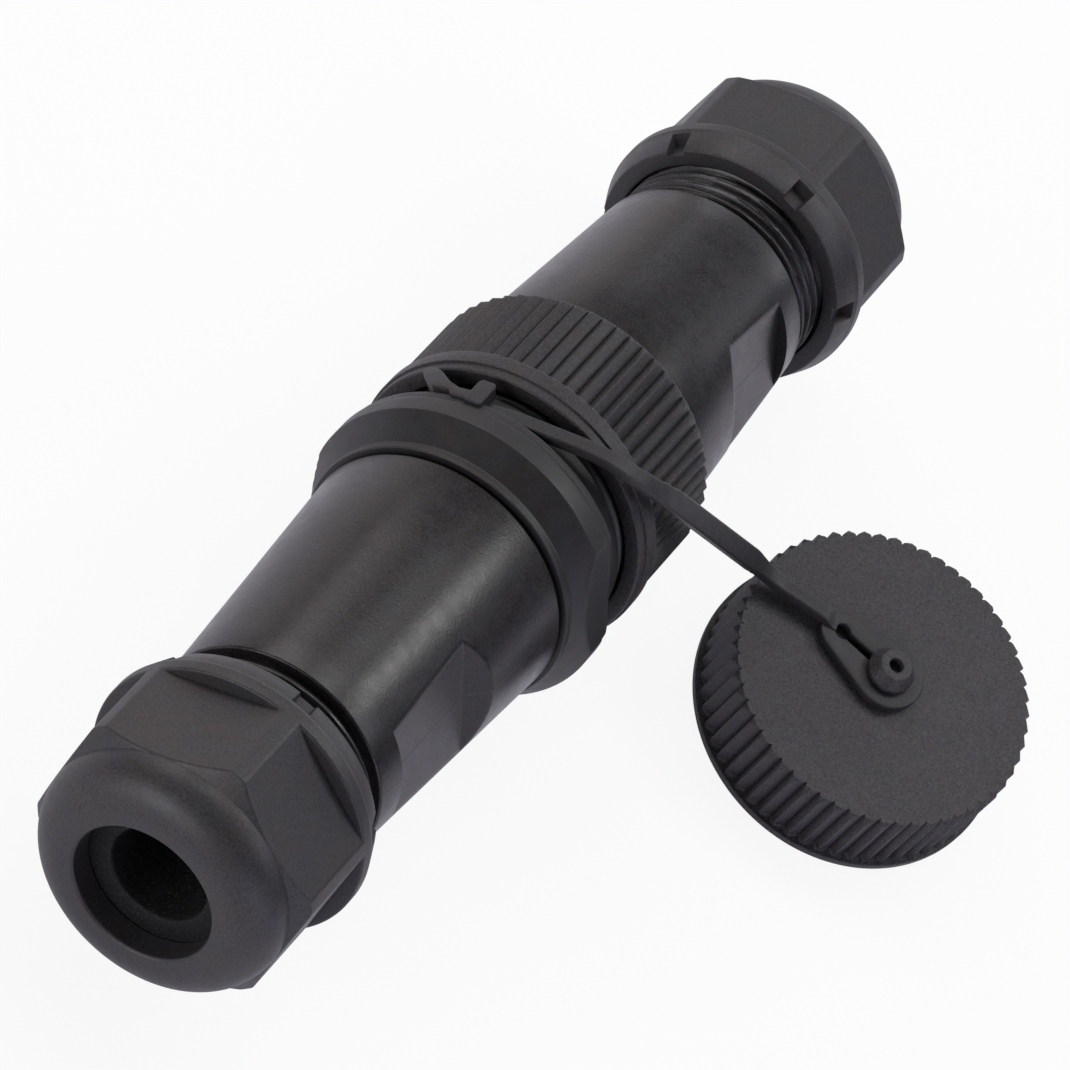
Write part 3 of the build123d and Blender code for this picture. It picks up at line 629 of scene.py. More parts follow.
def dress(made, node, body, slot, material=None):
    """Lets a piece stand for a CAD node: paints it with its slot's material or another one, puts it on its
    body and hides the node.
    """
    paint(made, materials[material or slot])
    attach(made, body)
    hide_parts(node)


# Gland nut


def nut_head(hex_end):
    """Outline of a nut from the cable hole over the dome to the hexagon's end."""
    dome = NUT_FLAT - NUT_DOME_STEP - NUT_NOSE_RADIUS
    dome_end = NUT_NOSE_RADIUS + dome
    head = [
        (HOLE_RADIUS, HOLE_CHAMFER + HOLE_EDGE, 0),
        (HOLE_RADIUS, HOLE_CHAMFER, WIDE),
        (HOLE_RADIUS + HOLE_CHAMFER, 0.0, WIDE),
    ]
    for turn in np.linspace(0.0, pi / 2, NUT_DOME_ROWS):
        head.append((NUT_NOSE_RADIUS + dome * sin(turn), dome * (1.0 - cos(turn)), 0))
    for share in np.linspace(*NUT_CHAMFER_ROWS):
        radius = dome_end + (COLLAR_RADIUS - dome_end) * share
        head.append((radius, dome + NUT_CORNER_CHAMFER * share, 0))
    head.append((COLLAR_RADIUS, dome + NUT_CORNER_CHAMFER, WIDE))
    head.append((COLLAR_RADIUS, hex_end, 0))
    return spaced(rounded(head), NUT_ROW_STEP)


def nut_rows(angles):
    """Rows of a nut from its nose over the collar and back through the bore."""
    hexagon = flats_limit(NUT_FLAT, angles, FLAT_NORMALS)
    hex_end = nut_length - COLLAR_LENGTH
    rows = [(soft_min(radius, hexagon, EDGE_BLEND), station) for radius, station in nut_head(hex_end)]
    corner = rows[-1][0]
    chamfer_depth, chamfer_length = COLLAR_CHAMFER
    notch_width, notch_length, notch_depth = NOTCH_SIZE
    notch_start = nut_length - notch_length
    notch_radius = COLLAR_RADIUS - chamfer_depth * NOTCH_DROP
    collar = [
        (NUT_FLAT, hex_end, 0),
        (COLLAR_RADIUS, hex_end, SOFT),
        (COLLAR_RADIUS, nut_length - chamfer_length, SOFT),
        (notch_radius, notch_start - STEP_GAP, 0),
        (notch_radius, notch_start + STEP_GAP, 0),
        (COLLAR_RADIUS - chamfer_depth, nut_length, SMALL),
        (GLAND_BORE, nut_length, SOFT),
        (GLAND_BORE, nut_length - NUT_MOUTH_LENGTH, 0),
    ]
    floor = COLLAR_RADIUS - notch_depth
    half = asin(notch_width / 2 / COLLAR_RADIUS)
    notched = sum(inside(angles, centre, half, radians(NOTCH_EDGE)) for centre in CORNER_ANGLES)
    for radius, station in rounded(collar):
        if station < hex_end + SOFT:
            radius = np.maximum(radius, corner)
        cut = notched if station > notch_start else 0.0
        rows.append((radius - np.maximum(radius - floor, 0.0) * cut, station))
    bore = [
        (GLAND_BORE, NUT_THREAD_START, TINY),
        (NUT_CAGE_BORE, NUT_THREAD_START, TINY),
        (NUT_CAGE_BORE, NUT_CONE_END, WIDE),
        (NUT_CONE_START, NUT_NOSE_WALL, TINY),
        (HOLE_RADIUS, NUT_NOSE_WALL, TINY),
    ]
    rows.extend(rounded(bore, closed=True))
    return rows


def gland_nut(name, place):
    """Hexagon nut with a domed nose and a notched collar."""
    half = np.degrees(asin(NOTCH_SIZE[0] / 2 / COLLAR_RADIUS))
    corner = HEX_SECTOR / 2 - np.degrees(np.arccos(NUT_FLAT / COLLAR_RADIUS))
    offsets = [corner + shift for shift in NUT_CORNER_OFFSETS]
    offsets += [half + shift for shift in NOTCH_OFFSETS]
    angles = angle_ring(NUT_ANGLES, CORNER_ANGLES, offsets)
    return skin(name, nut_rows(angles), angles, place)


# Gland seal


def gland_seal(name, place):
    """Rubber sleeve with a collar and fine grip rings in its bore."""
    length = seal_end - seal_start
    recess = seal_start - front_nose
    outline = [
        (SEAL_BORE, 0.0, SEAL_MOUTH_FILLET),
        (SEAL_RADIUS, 0.0, SEAL_CHAMFER),
        (SEAL_RADIUS, length - SEAL_COLLAR_LENGTH, TINY),
        (SEAL_COLLAR_RADIUS, length - SEAL_COLLAR_LENGTH, SMALL),
        (SEAL_COLLAR_RADIUS, length, SMALL),
        (SEAL_BORE, length, WIDE),
    ]
    rows = [(radius, recess + station) for radius, station in rounded(outline, closed=True)]
    first, last, step = SEAL_GRIP_ROWS
    for station in np.arange(length - last, first, -step):
        groove = SEAL_GRIP_DEPTH * (0.5 - 0.5 * cos(2 * pi * station / SEAL_GRIP_PITCH))
        rows.append((SEAL_BORE + groove, recess + station))
    angles = angle_ring(SEAL_ANGLES)
    return skin(name, rows, angles, place)


# Shells


def shell_flats(angles, station, ramp_start, normals):
    """Radius of two wrench flats at a station, with a ramp at the far end."""
    ramp = max(0.0, station - ramp_start) * tan(radians(FLAT_RAMP_ANGLE))
    return flats_limit(SHELL_FLAT + ramp, angles, normals)


def neck_rows(angles):
    """Rows of a shell's threaded neck."""
    edge = [(COUNTERBORE, -NECK_LENGTH, 0), (NECK_ROOT, -NECK_LENGTH, SOFT), (NECK_ROOT, 0.0, 0)]
    lead_in = [shift - NECK_LENGTH for shift in NECK_LEAD_IN]
    stations = np.arange(lead_in[0], -NECK_END_GAP, NECK_ROW_STEP)
    radii = (NECK_ROOT, NECK_CREST)
    return rounded(edge)[:-1] + thread_rows(angles, stations, radii, NECK_PITCH, lead_in, NECK_RUN_OUT)


def shell_rows(angles, length, mouth_depth, normals):
    """Rows of a shell from its neck over the taper and back through the cavity."""
    taper = [
        (NECK_ROOT, 0.0, 0),
        (SHOULDER_RADIUS, 0.0, WIDE),
        (shell_wide, length, WIDE),
        (SHELL_MOUTH, length, SMALL),
        (SHELL_MOUTH, length - mouth_depth, 0),
    ]
    outline = rounded(taper)
    wide_end = next(index for index, point in enumerate(outline) if point[1] > length / 2)
    lower, upper = outline[wide_end - 1], outline[wide_end]
    ramp_length = (shell_wide - SHELL_FLAT) / tan(radians(FLAT_RAMP_ANGLE))
    ramp_start = length - mouth_depth - FLAT_MOUTH_MARGIN - ramp_length
    stations = [FLAT_START + shift for shift in FLAT_START_SHIFTS]
    first, last, count = FLAT_ROWS
    stations += list(np.linspace(FLAT_START + first, ramp_start - last, count))
    edge, count = RAMP_EDGE_ROWS
    stations += list(np.linspace(ramp_start - edge, ramp_start + edge, count))
    first, count = RAMP_ROWS
    stations += list(np.linspace(ramp_start + first, ramp_start + ramp_length, count))
    ridge = sum(np.maximum(0.0, 1.0 - away(angles, normal) / radians(PARTING_WIDTH)) for normal in normals)
    ridge = PARTING_RIDGE * ridge
    rows = [*neck_rows(angles), *outline[:wide_end]]
    for station in stations:
        share = (station - lower[1]) / (upper[1] - lower[1])
        radius = lower[0] + (upper[0] - lower[0]) * share
        if station > FLAT_START:
            radius = soft_min(radius, shell_flats(angles, station, ramp_start, normals), FLAT_BLEND)
        rows.append((radius + ridge, station))
    rows.extend(outline[wide_end:-1])
    cavity = [
        (SHELL_MOUTH, length - mouth_depth, 0),
        (SHELL_CAVITY, length - mouth_depth, TINY),
        (SHELL_CAVITY, SHOULDER_WALL, SHELL_CAVITY_FILLET),
        (NECK_BORE, SHOULDER_WALL, WIDE),
        (NECK_BORE, COUNTERBORE_DEPTH - NECK_LENGTH, TINY),
        (COUNTERBORE, COUNTERBORE_DEPTH - NECK_LENGTH, 0),
    ]
    rows.extend(rounded(cavity))
    return rows


def shell(name, place, length, mouth_depth, flat_angle):
    """Tapered shell with a threaded neck, two wrench flats and a fine parting line."""
    normals = (radians(flat_angle), radians(flat_angle + 180))
    offsets = (0.0, PARTING_WIDTH / 2, PARTING_WIDTH, 2 * PARTING_WIDTH, PARTING_REACH)
    angles = angle_ring(ROUND_ANGLES, normals, offsets)
    return skin(name, shell_rows(angles, length, mouth_depth, normals), angles, place)


# Front coupler


def flange_rows(angles):
    """Rows of the coupler's tube, lip, cone and double-D flange."""
    flange = [
        (INSERT_BORE, coupler_start, 0),
        (TUBE_RADIUS, coupler_start, SMALL),
        (TUBE_RADIUS, coupler_face, TINY),
        (LIP_RADIUS, coupler_face, SLIGHT),
        (LIP_RADIUS, lip_end, SMALL),
        (flange_radius, flange_front, WIDE),
        (flange_radius, flange_back, SOFT),
        (HUB_RADIUS, flange_back, 0),
    ]
    limit = flats_limit(FLANGE_FLAT, angles, FLAT_PAIR)
    rows = []
    for radius, station in spaced(rounded(flange), COUPLER_ROW_STEP):
        if radius > HUB_RADIUS:
            radius = soft_min(radius, limit, FLANGE_BLEND)
        rows.append((radius, station))
    return rows


def coupler_rows(angles):
    """Rows of the coupler from its flange to its thread and back through the socket."""
    rows = flange_rows(angles)
    bead_start, bead_end = (ring_back + shift for shift in BEAD_STATIONS)
    hub_end = ring_back + HUB_TAIL
    hub = [
        (HUB_RADIUS, bead_start, 0),
        (BEAD_RADIUS, bead_start, TINY),
        (BEAD_RADIUS, bead_end, SLIGHT),
        (HUB_RADIUS, bead_end, HAIR),
        (HUB_RADIUS, hub_end, SMALL),
        (COUPLING_ROOT, hub_end, 0),
    ]
    rows.extend(rounded(hub))
    first, last, step = COUPLING_ROWS
    stations = np.arange(hub_end + first, coupler_mouth - last, step)
    lead_in = [hub_end + shift for shift in COUPLING_LEAD_IN]
    run_out = [coupler_mouth - shift for shift in COUPLING_RUN_OUT]
    radii = (COUPLING_ROOT, COUPLING_CREST)
    rows.extend(thread_rows(angles, stations, radii, COUPLING_PITCH, lead_in, run_out))
    keyway_start = ring_back + KEYWAY_START
    half = asin(KEYWAY_WIDTH / 2 / KEYWAY_RADIUS)
    keyed = inside(angles, pi / 2, half, radians(KEYWAY_EDGE))
    seat = ring_back - INSERT_FLANGE
    socket = [
        (COUPLING_ROOT, hub_end, 0),
        (COUPLING_ROOT, coupler_mouth, SOFT),
        (SOCKET_RADIUS, coupler_mouth, SMALL),
        (SOCKET_RADIUS, keyway_start + STEP_GAP, 0),
        (SOCKET_RADIUS, keyway_start - STEP_GAP, 0),
        (SOCKET_RADIUS, ring_back, HAIR),
        (INSERT_FLANGE_BORE, ring_back, HAIR),
        (INSERT_FLANGE_BORE, seat, HAIR),
        (INSERT_BORE, seat, HAIR),
        (INSERT_BORE, coupler_start + INSERT_BORE_ROW, 0),
    ]
    for radius, station in rounded(socket)[1:]:
        if station > keyway_start:
            radius = np.maximum(radius, radius + (KEYWAY_RADIUS - radius) * keyed)
        rows.append((radius, station))
    return rows


def front_coupler():
    """Double-D flange with the coupling thread and the mating socket."""
    corners = beside(FLAT_PAIR, np.arccos(FLANGE_FLAT / flange_radius))
    key_edges = beside([pi / 2], asin(KEYWAY_WIDTH / 2 / KEYWAY_RADIUS))
    angles = angle_ring(ROUND_ANGLES, [*corners, *key_edges], COUPLER_OFFSETS)
    return skin("front_coupler_moulding", coupler_rows(angles), angles)


# Coupling ring


def coupling_ring():
    """Ring with a stepped rim and sawtooth ribs."""
    angles = saw_angles(RING_RIB_COUNT)
    rib_start = coupling_front + RIM_LENGTH
    lip = rim_radius - RIM_STEP
    first_row, last_row = (coupling_front + shift for shift in BORE_STATIONS)
    rim = [
        (COUPLING_BORE, first_row, 0),
        (COUPLING_BORE, coupling_front, SMALL),
        (lip, coupling_front, SOFT),
        (lip, coupling_front + RIM_FRONT, HAIR),
        (rim_radius, coupling_front + RIM_FRONT, TINY),
        (rim_radius, rib_start, WIDE),
        (RING_RIB_TIP - RING_RIB_DEPTH, rib_start, 0),
    ]
    rows = rounded(rim)[:-1]
    saw = saw_radius(angles, RING_RIB_TIP, RING_RIB_DEPTH, RING_RIB_COUNT)
    rows += [(lip + (saw - lip) * share, rib_start + shift) for shift, share in RING_RIB_RISE]
    first, last, count = RING_ROWS
    rows += [(saw, station) for station in np.linspace(rib_start + first, coupling_back - last, count)]
    for drop in np.linspace(0.0, 1.0, RING_CHAMFER_ROWS):
        station = coupling_back - RING_CHAMFER * (1.0 - drop)
        rows.append((soft_min(saw, RING_RIB_TIP - RING_CHAMFER * drop, EDGE_BLEND), station))
    lip_start = coupling_back - COUPLING_LIP
    bore = [
        (RING_RIB_TIP - RING_CHAMFER - RING_FACE_MARGIN, coupling_back, 0),
        (STUB_HOLE, coupling_back, SMALL),
        (STUB_HOLE, lip_start, TINY),
        (COUPLING_BORE, lip_start, TINY),
        (COUPLING_BORE, last_row, 0),
    ]
    rows.extend(rounded(bore))
    return skin("coupling_ring_moulding", rows, angles)


# Cap


def button_outline():
    """Outline of the cap's button from its hole to the cap's top."""
    head_top = STEM_HEIGHT + HEAD_HEIGHT
    hole_floor = head_top - BUTTON_HOLE_DEPTH
    return [
        (CAP_POLES[0], hole_floor, 0),
        (BUTTON_HOLE, hole_floor, SLIGHT),
        (BUTTON_HOLE, head_top, FINE),
        (BUTTON_CROWN, head_top, SMALL),
        (BUTTON_HEAD, STEM_HEIGHT + BUTTON_EDGE, SMALL),
        (BUTTON_HEAD, STEM_HEIGHT, SLIGHT),
        (BUTTON_STEM, STEM_HEIGHT, TINY),
        (BUTTON_STEM, 0.0, SLIGHT),
        (CAP_RADIUS - CAP_RIB_DEPTH - CAP_CHAMFER, 0.0, 0),
    ]


def cap():
    """Screw cap with ribs, a base flange, an inner thread and a button."""
    angles = saw_angles(CAP_RIB_COUNT)
    rows = rounded(button_outline())
    saw = saw_radius(angles, CAP_RADIUS, CAP_RIB_DEPTH, CAP_RIB_COUNT)
    for drop in np.linspace(0.0, 1.0, CAP_CHAMFER_ROWS):
        limit = CAP_RADIUS - CAP_CHAMFER * (1.0 - drop)
        rows.append((soft_min(saw, limit, EDGE_BLEND), -CAP_CHAMFER * drop))
    rib_end = CAP_BASE_THICKNESS - CAP_HEIGHT
    first, last, count = CAP_ROWS
    rows += [(saw, station) for station in np.linspace(-CAP_CHAMFER - first, rib_end + last, count)]
    rows += [(saw + (CAP_RADIUS - saw) * share, rib_end + shift) for shift, share in CAP_RIB_FOOT]
    ceiling = -CAP_TOP_WALL
    base = [
        (CAP_RADIUS, rib_end, 0),
        (CAP_BASE_RADIUS, rib_end, FINE),
        (CAP_BASE_RADIUS, -CAP_HEIGHT, SMALL),
        (COUPLING_BORE, -CAP_HEIGHT, WIDE),
        (COUPLING_BORE, ceiling, 0),
    ]
    rows.extend(rounded(base)[1:-1])
    lead_in = [shift - CAP_HEIGHT for shift in CAP_LEAD_IN]
    run_out = [ceiling - shift for shift in CAP_RUN_OUT]
    first, last, step = CAP_THREAD_ROWS
    for station in np.arange(first - CAP_HEIGHT, ceiling - last, step):
        depth = CAP_THREAD_DEPTH * thread_fade(station, lead_in, run_out)
        groove = 1.0 - thread_height(angles, station, COUPLING_PITCH)
        rows.append((COUPLING_BORE + depth * groove, station))
    roof = [
        (COUPLING_BORE, ceiling - CAP_ROOF_ROW, 0),
        (COUPLING_BORE, ceiling, TINY),
        (CAP_POLES[1], ceiling, 0),
    ]
    rows.extend(rounded(roof))
    return skin("cap_moulding", rows, angles, cap_place @ stand_up, closed=False)


# Strap


def strap_path():
    """Plan and side lines of the strap's middle, from the ring to the cap."""
    radius, root_angle = STRAP_ROOT_RADIUS, radians(STRAP_ROOT_ANGLE)
    root = Vector((radius * cos(root_angle), ring_back + STRAP_ROOT_OFFSET, radius * sin(root_angle)))
    end_x = CAP_CENTRE_X - PADDLE_REACH - PADDLE_RELIEF
    end = Vector((end_x, cap_y, cap_top + STRAP_CAP_GAP + STRAP_THICKNESS / 2))
    out_x, out_y, out_round = STRAP_TURN_OUT
    in_x, in_y, in_round = STRAP_TURN_IN
    back_x = root.x - radius * cos(radians(STRAP_START_ANGLE))
    plan = [
        (root.x - back_x, root.y - back_x * out_y / out_x, 0),
        (root.x + out_x, root.y + out_y, out_round),
        (end.x - in_x, end.y - in_y, in_round),
        (end.x, end.y, 0),
    ]
    turns = np.radians(np.linspace(STRAP_START_ANGLE, STRAP_ROOT_ANGLE, STRAP_ROOT_STEPS))
    side = [np.array((radius * cos(turn), radius * sin(turn))) for turn in turns[:-1]]
    side += rounded([
        (root.x, root.z, 0),
        (root.x + STRAP_LEAD * sin(root_angle), root.z - STRAP_LEAD * cos(root_angle), STRAP_CREST_RADIUS),
        (end.x - STRAP_FOOT_LENGTH, end.z, STRAP_FOOT_RADIUS),
        (end.x, end.z, 0),
    ])
    return spaced(rounded(plan), STRAP_STEP), spaced(side, STRAP_STEP / 2)


def strap_band():
    """Band along the strap's line, with a foot that thins on to the paddle."""
    plan, side = strap_path()
    slopes = np.gradient(side[:, 1], side[:, 0])
    headings = np.gradient(plan, axis=0)
    headings /= norm(headings, axis=1)[:, None]
    half_width, half_height = STRAP_WIDTH / 2, STRAP_THICKNESS / 2
    corners = [(x * half_width, y * half_height, STRAP_EDGE) for x, y in SQUARE]
    section = rounded(corners, closed=True)
    along = np.concatenate([[0.0], np.cumsum(norm(np.diff(plan, axis=0), axis=1))])
    points = []
    for (x, y), (ahead_x, ahead_y), run in zip(plan, headings, along):
        inset = STRAP_EDGE - sqrt(max(0.0, STRAP_EDGE ** 2 - max(0.0, STRAP_EDGE - run) ** 2))
        foot = ease(run, along[-1] - STRAP_FOOT_TIP, along[-1])
        for across, height in section:
            across *= 1.0 - inset / half_width
            height *= 1.0 - inset / half_height
            height -= max(0.0, height) * foot * STRAP_FOOT_DROP
            at_x = x - across * ahead_y
            level = np.interp(at_x, side[:, 0], side[:, 1])
            slope = np.arctan(np.interp(at_x, side[:, 0], slopes))
            points.append((at_x - height * sin(slope), y + across * ahead_x, level + height * cos(slope)))
    count = len(section)
    steps = np.arange(count)
    last = len(plan) - 1
    faces = [steps[::-1].tolist(), (steps + last * count).tolist()]
    for row in range(last):
        faces.extend(band_faces(count, row, row + 1))
    return mesh_object("strap_band", points, faces)


def arc(radius, centre_x, start, end, steps):
    """Points along an arc about a centre on the paddle's middle line."""
    return [(radius * cos(turn) + centre_x, radius * sin(turn)) for turn in np.linspace(start, end, steps)]


def paddle_loops(inset):
    """Outer and inner outline of the paddle, drawn in by an inset."""
    end, neck = PADDLE_END - inset, PADDLE_NECK - inset
    lean = pi / 2 - asin((end - neck) / PADDLE_REACH)
    outer = arc(end, 0.0, -pi + lean, pi - lean, PADDLE_END_STEPS)
    outer += arc(neck, -PADDLE_REACH, pi - lean, pi + lean, PADDLE_NECK_STEPS)
    half = PADDLE_SLOT / 2 + inset
    hole, relief = PADDLE_HOLE + inset, PADDLE_RELIEF + inset
    hole_turn, relief_turn = asin(half / hole), asin(half / relief)
    inner = arc(hole, 0.0, -pi + hole_turn, pi - hole_turn, PADDLE_HOLE_STEPS)
    inner += arc(relief, -PADDLE_REACH, relief_turn, 2 * pi - relief_turn, PADDLE_NECK_STEPS)
    return outer, inner


def paddle():
    """Teardrop end of the strap with a hole for the button, a slot and a relief hole."""
    low, high = PADDLE_GAP, PADDLE_GAP + PADDLE_THICKNESS
    turns = np.linspace(0.0, 1.0, PADDLE_EDGE_STEPS) * pi / 2
    levels = [(PADDLE_EDGE * (1 - sin(turn)), low + PADDLE_EDGE * (1 - cos(turn))) for turn in turns]
    levels += [(inset, low + high - level) for inset, level in reversed(levels)]
    work = bmesh.new()
    rims = []
    for side in (0, 1):
        loops = []
        for inset, level in levels:
            outline = paddle_loops(inset)[side]
            loops.append([work.verts.new((x, y, level)) for x, y in outline])
        count = len(loops[0])
        for below, above in zip(loops, loops[1:]):
            for step in range(count):
                after = (step + 1) % count
                work.faces.new((below[step], below[after], above[after], above[step]))
        rims.append((loops[0], loops[-1]))
    for level in (0, 1):
        edges = []
        for rim in rims:
            loop = rim[level]
            edges += [work.edges.get((loop[step - 1], loop[step])) for step in range(len(loop))]
        bmesh.ops.triangle_fill(work, use_beauty=True, use_dissolve=False, edges=edges)
    return worked_object("strap_paddle", work, cap_place)


def ring_plate(name, outline, levels):
    """Plate bent round the ring: an outline of (angle, distance) between two radii."""
    low, high = levels
    work = bmesh.new()
    flat = [work.verts.new((radians(angle) * high, ring_back + reach, 0.0)) for angle, reach in outline]
    face = work.faces.new(flat)
    raised = bmesh.ops.extrude_face_region(work, geom=[face])["geom"]
    moved = [item for item in raised if isinstance(item, bmesh.types.BMVert)]
    bmesh.ops.translate(work, verts=moved, vec=(0.0, 0.0, high - low))
    bevel = {"offset": PLATE_BEVEL, "segments": PLATE_BEVEL_STEPS, "profile": 0.5, "affect": "EDGES"}
    bmesh.ops.bevel(work, geom=work.edges[:], **bevel)
    first, last = min(outline)[0], max(outline)[0]
    for angle in np.arange(first + PLATE_CUT_TURN, last, PLATE_CUT_TURN):
        geometry = work.verts[:] + work.edges[:] + work.faces[:]
        plane = {"plane_co": (radians(angle) * high, 0, 0), "plane_no": (1, 0, 0)}
        bmesh.ops.bisect_plane(work, geom=geometry, dist=PLATE_CUT_GAP, **plane)
    for vert in work.verts:
        angle, station, height = vert.co
        angle /= high
        vert.co = ((low + height) * cos(angle), station, (low + height) * sin(angle))
    return worked_object(name, work)


def strap_ring():
    """Plain ring behind the flange with rounded edges."""
    inner, outer = STRAP_RING
    front = ring_back - STRAP_RING_WIDTH
    corners = [
        (inner, front, SLIGHT),
        (outer, front, SMALL),
        (outer, ring_back, SOFT),
        (inner, ring_back, SLIGHT),
    ]
    outline = rounded(corners, closed=True)
    lean = np.arccos(STRAP_RING_FLAT / outer)
    angles = angle_ring(ROUND_ANGLES, beside(FLAT_PAIR, lean))
    limit = flats_limit(STRAP_RING_FLAT, angles, FLAT_PAIR)
    rows = [(soft_min(radius, limit, FLAT_BLEND), station) for radius, station in outline]
    return skin("strap_ring", rows, angles)


def cap_strap():
    """Ring, lug, hook, band and paddle joined into one moulding."""
    parts = [
        strap_band(),
        paddle(),
        ring_plate("strap_lug", LUG_OUTLINE, LUG_LEVELS),
        ring_plate("strap_hook", HOOK_OUTLINE, HOOK_LEVELS),
    ]
    ring = strap_ring()
    for part in parts:
        join = ring.modifiers.new(part.name, "BOOLEAN")
        join.operation = "UNION"
        join.solver = "EXACT"
        join.object = part
    graph = bpy.context.evaluated_depsgraph_get()
    mesh = bpy.data.meshes.new_from_object(ring.evaluated_get(graph))
    for part in [*parts, ring]:
        bpy.data.objects.remove(part)
    clean(mesh)
    mesh.name = "cap_strap_moulding"
    return add_object("cap_strap_moulding", mesh)


# Materials


def add(tree, kind, **settings):
    """New node with some of its settings."""
    node = tree.nodes.new(kind)
    for key, value in settings.items():
        setattr(node, key, value)
    return node


def wire(value, node, key):
    """Links a value to one of a node's inputs."""
    node.id_data.links.new(value, node.inputs[key])


def noise(tree, size, detail=3.0, roughness=0.55, stretch=(1.0, 1.0, 1.0)):
    """Noise fixed to the piece, with blotches of about a size."""
    place = add(tree, "ShaderNodeTexCoord")
    mapping = add(tree, "ShaderNodeMapping")
    mapping.inputs["Scale"].default_value = [1.0 / (size * MM * side) for side in stretch]
    texture = add(tree, "ShaderNodeTexNoise")
    texture.inputs["Scale"].default_value = 1.0
    texture.inputs["Detail"].default_value = detail
    texture.inputs["Roughness"].default_value = roughness
    wire(place.outputs["Object"], mapping, "Vector")
    wire(mapping.outputs["Vector"], texture, "Vector")
    return texture.outputs["Fac"]


def remap(value, start, end, low, high):
    """Value taken from one range to another and held at its ends."""
    node = add(value.id_data, "ShaderNodeMapRange", interpolation_type="SMOOTHSTEP")
    for key, number in zip(("From Min", "From Max", "To Min", "To Max"), (start, end, low, high)):
        node.inputs[key].default_value = number
    wire(value, node, "Value")
    return node.outputs["Result"]


def mixed(share, first, second):
    """Colour between two colours or sockets."""
    tree = share.id_data
    node = add(tree, "ShaderNodeMix", data_type="RGBA")
    wire(share, node, "Factor")
    for key, colour in (("A", first), ("B", second)):
        socket = next(item for item in node.inputs if item.name == key and item.type == "RGBA")
        if isinstance(colour, tuple):
            socket.default_value = (*colour, 1.0)
        else:
            tree.links.new(colour, socket)
    return next(item for item in node.outputs if item.type == "RGBA")


def combined(operation, first, second):
    """Result of an operation on a socket and a socket or a number."""
    node = add(first.id_data, "ShaderNodeMath", operation=operation)
    wire(first, node, 0)
    if isinstance(second, float):
        node.inputs[1].default_value = second
    else:
        wire(second, node, 1)
    return node.outputs["Value"]


def bumped(height, depth):
    """Normal from a height, with a depth in millimetres."""
    bump = add(height.id_data, "ShaderNodeBump")
    bump.inputs["Strength"].default_value = 1.0
    bump.inputs["Distance"].default_value = depth * MM
    wire(height, bump, "Height")
    return bump.outputs["Normal"]


def new_material(name):
    """Material with its node tree and shader."""
    material = bpy.data.materials.new(name)
    material.use_nodes = True
    return material, material.node_tree, material.node_tree.nodes["Principled BSDF"]


def shaded(colour, factor):
    """Colour times one factor, or times a factor for each channel."""
    factors = factor if isinstance(factor, tuple) else (factor,) * 3
    return tuple(channel * share for channel, share in zip(colour, factors))


def plastic(name, colour, roughness, grain_size, grain_depth, fleck, specular, tint):
    """Black plastic with a faint tint, flecks, a moulded grain and dust."""
    material, tree, shader = new_material(name)
    blotches = remap(noise(tree, TINT_SIZE, detail=4.0), *TINT_RANGE, 0.5 - tint / 2, 0.5 + tint / 2)
    surface = mixed(blotches, shaded(colour, TINT_WARM), shaded(colour, TINT_COOL))
    flecks = noise(tree, FLECK_SIZE, detail=2.0, roughness=0.6)
    for limits, factor in FLECK_KINDS:
        share = remap(flecks, *limits, 0.0, fleck)
        surface = mixed(share, surface, shaded(colour, factor))
    dust = remap(noise(tree, DUST_SIZE, detail=1.0), *DUST_RANGE, 0.0, DUST_SHARE)
    surface = mixed(dust, surface, shaded(colour, DUST_LIGHT))
    wire(surface, shader, "Base Color")
    limits = (roughness - GLOSS_SPREAD, roughness + GLOSS_SPREAD)
    wire(remap(noise(tree, GLOSS_SIZE), *GLOSS_RANGE, *limits), shader, "Roughness")
    grain = noise(tree, grain_size, detail=2.0, roughness=0.5)
    wire(bumped(grain, grain_depth), shader, "Normal")
    shader.inputs["Specular IOR Level"].default_value = specular
    return material


def rubber():
    """Matt black rubber with a coarse skin and pale talc in its pores."""
    material, tree, shader = new_material("seal_rubber")
    pores = noise(tree, PORE_SIZE, detail=4.0, roughness=0.75)
    talc = remap(pores, *PORE_TALC_RANGE, 0.0, 1.0)
    wire(mixed(talc, RUBBER_BLACK, RUBBER_TALC), shader, "Base Color")
    wire(remap(pores, *GLOSS_RANGE, *RUBBER_ROUGHNESS), shader, "Roughness")
    wire(bumped(pores, PORE_DEPTH), shader, "Normal")
    shader.inputs["Specular IOR Level"].default_value = RUBBER_SPECULAR
    return material


def metal(name, colour, roughness):
    """Turned metal with fine tool rings and slight tarnish."""
    material, tree, shader = new_material(name)
    tarnish = remap(noise(tree, TARNISH_SIZE, detail=5.0), *TARNISH_RANGE, 0.0, 1.0)
    wire(mixed(tarnish, colour, shaded(colour, TARNISH_DARK)), shader, "Base Color")
    limits = [roughness + spread for spread in METAL_GLOSS_SPREAD]
    wire(remap(noise(tree, METAL_GLOSS_SIZE), *GLOSS_RANGE, *limits), shader, "Roughness")
    rings = noise(tree, TOOL_RING_SIZE, detail=2.0, stretch=TOOL_RING_STRETCH)
    wire(bumped(rings, TOOL_RING_DEPTH), shader, "Normal")
    shader.inputs["Metallic"].default_value = 1.0
    return material


# Stage


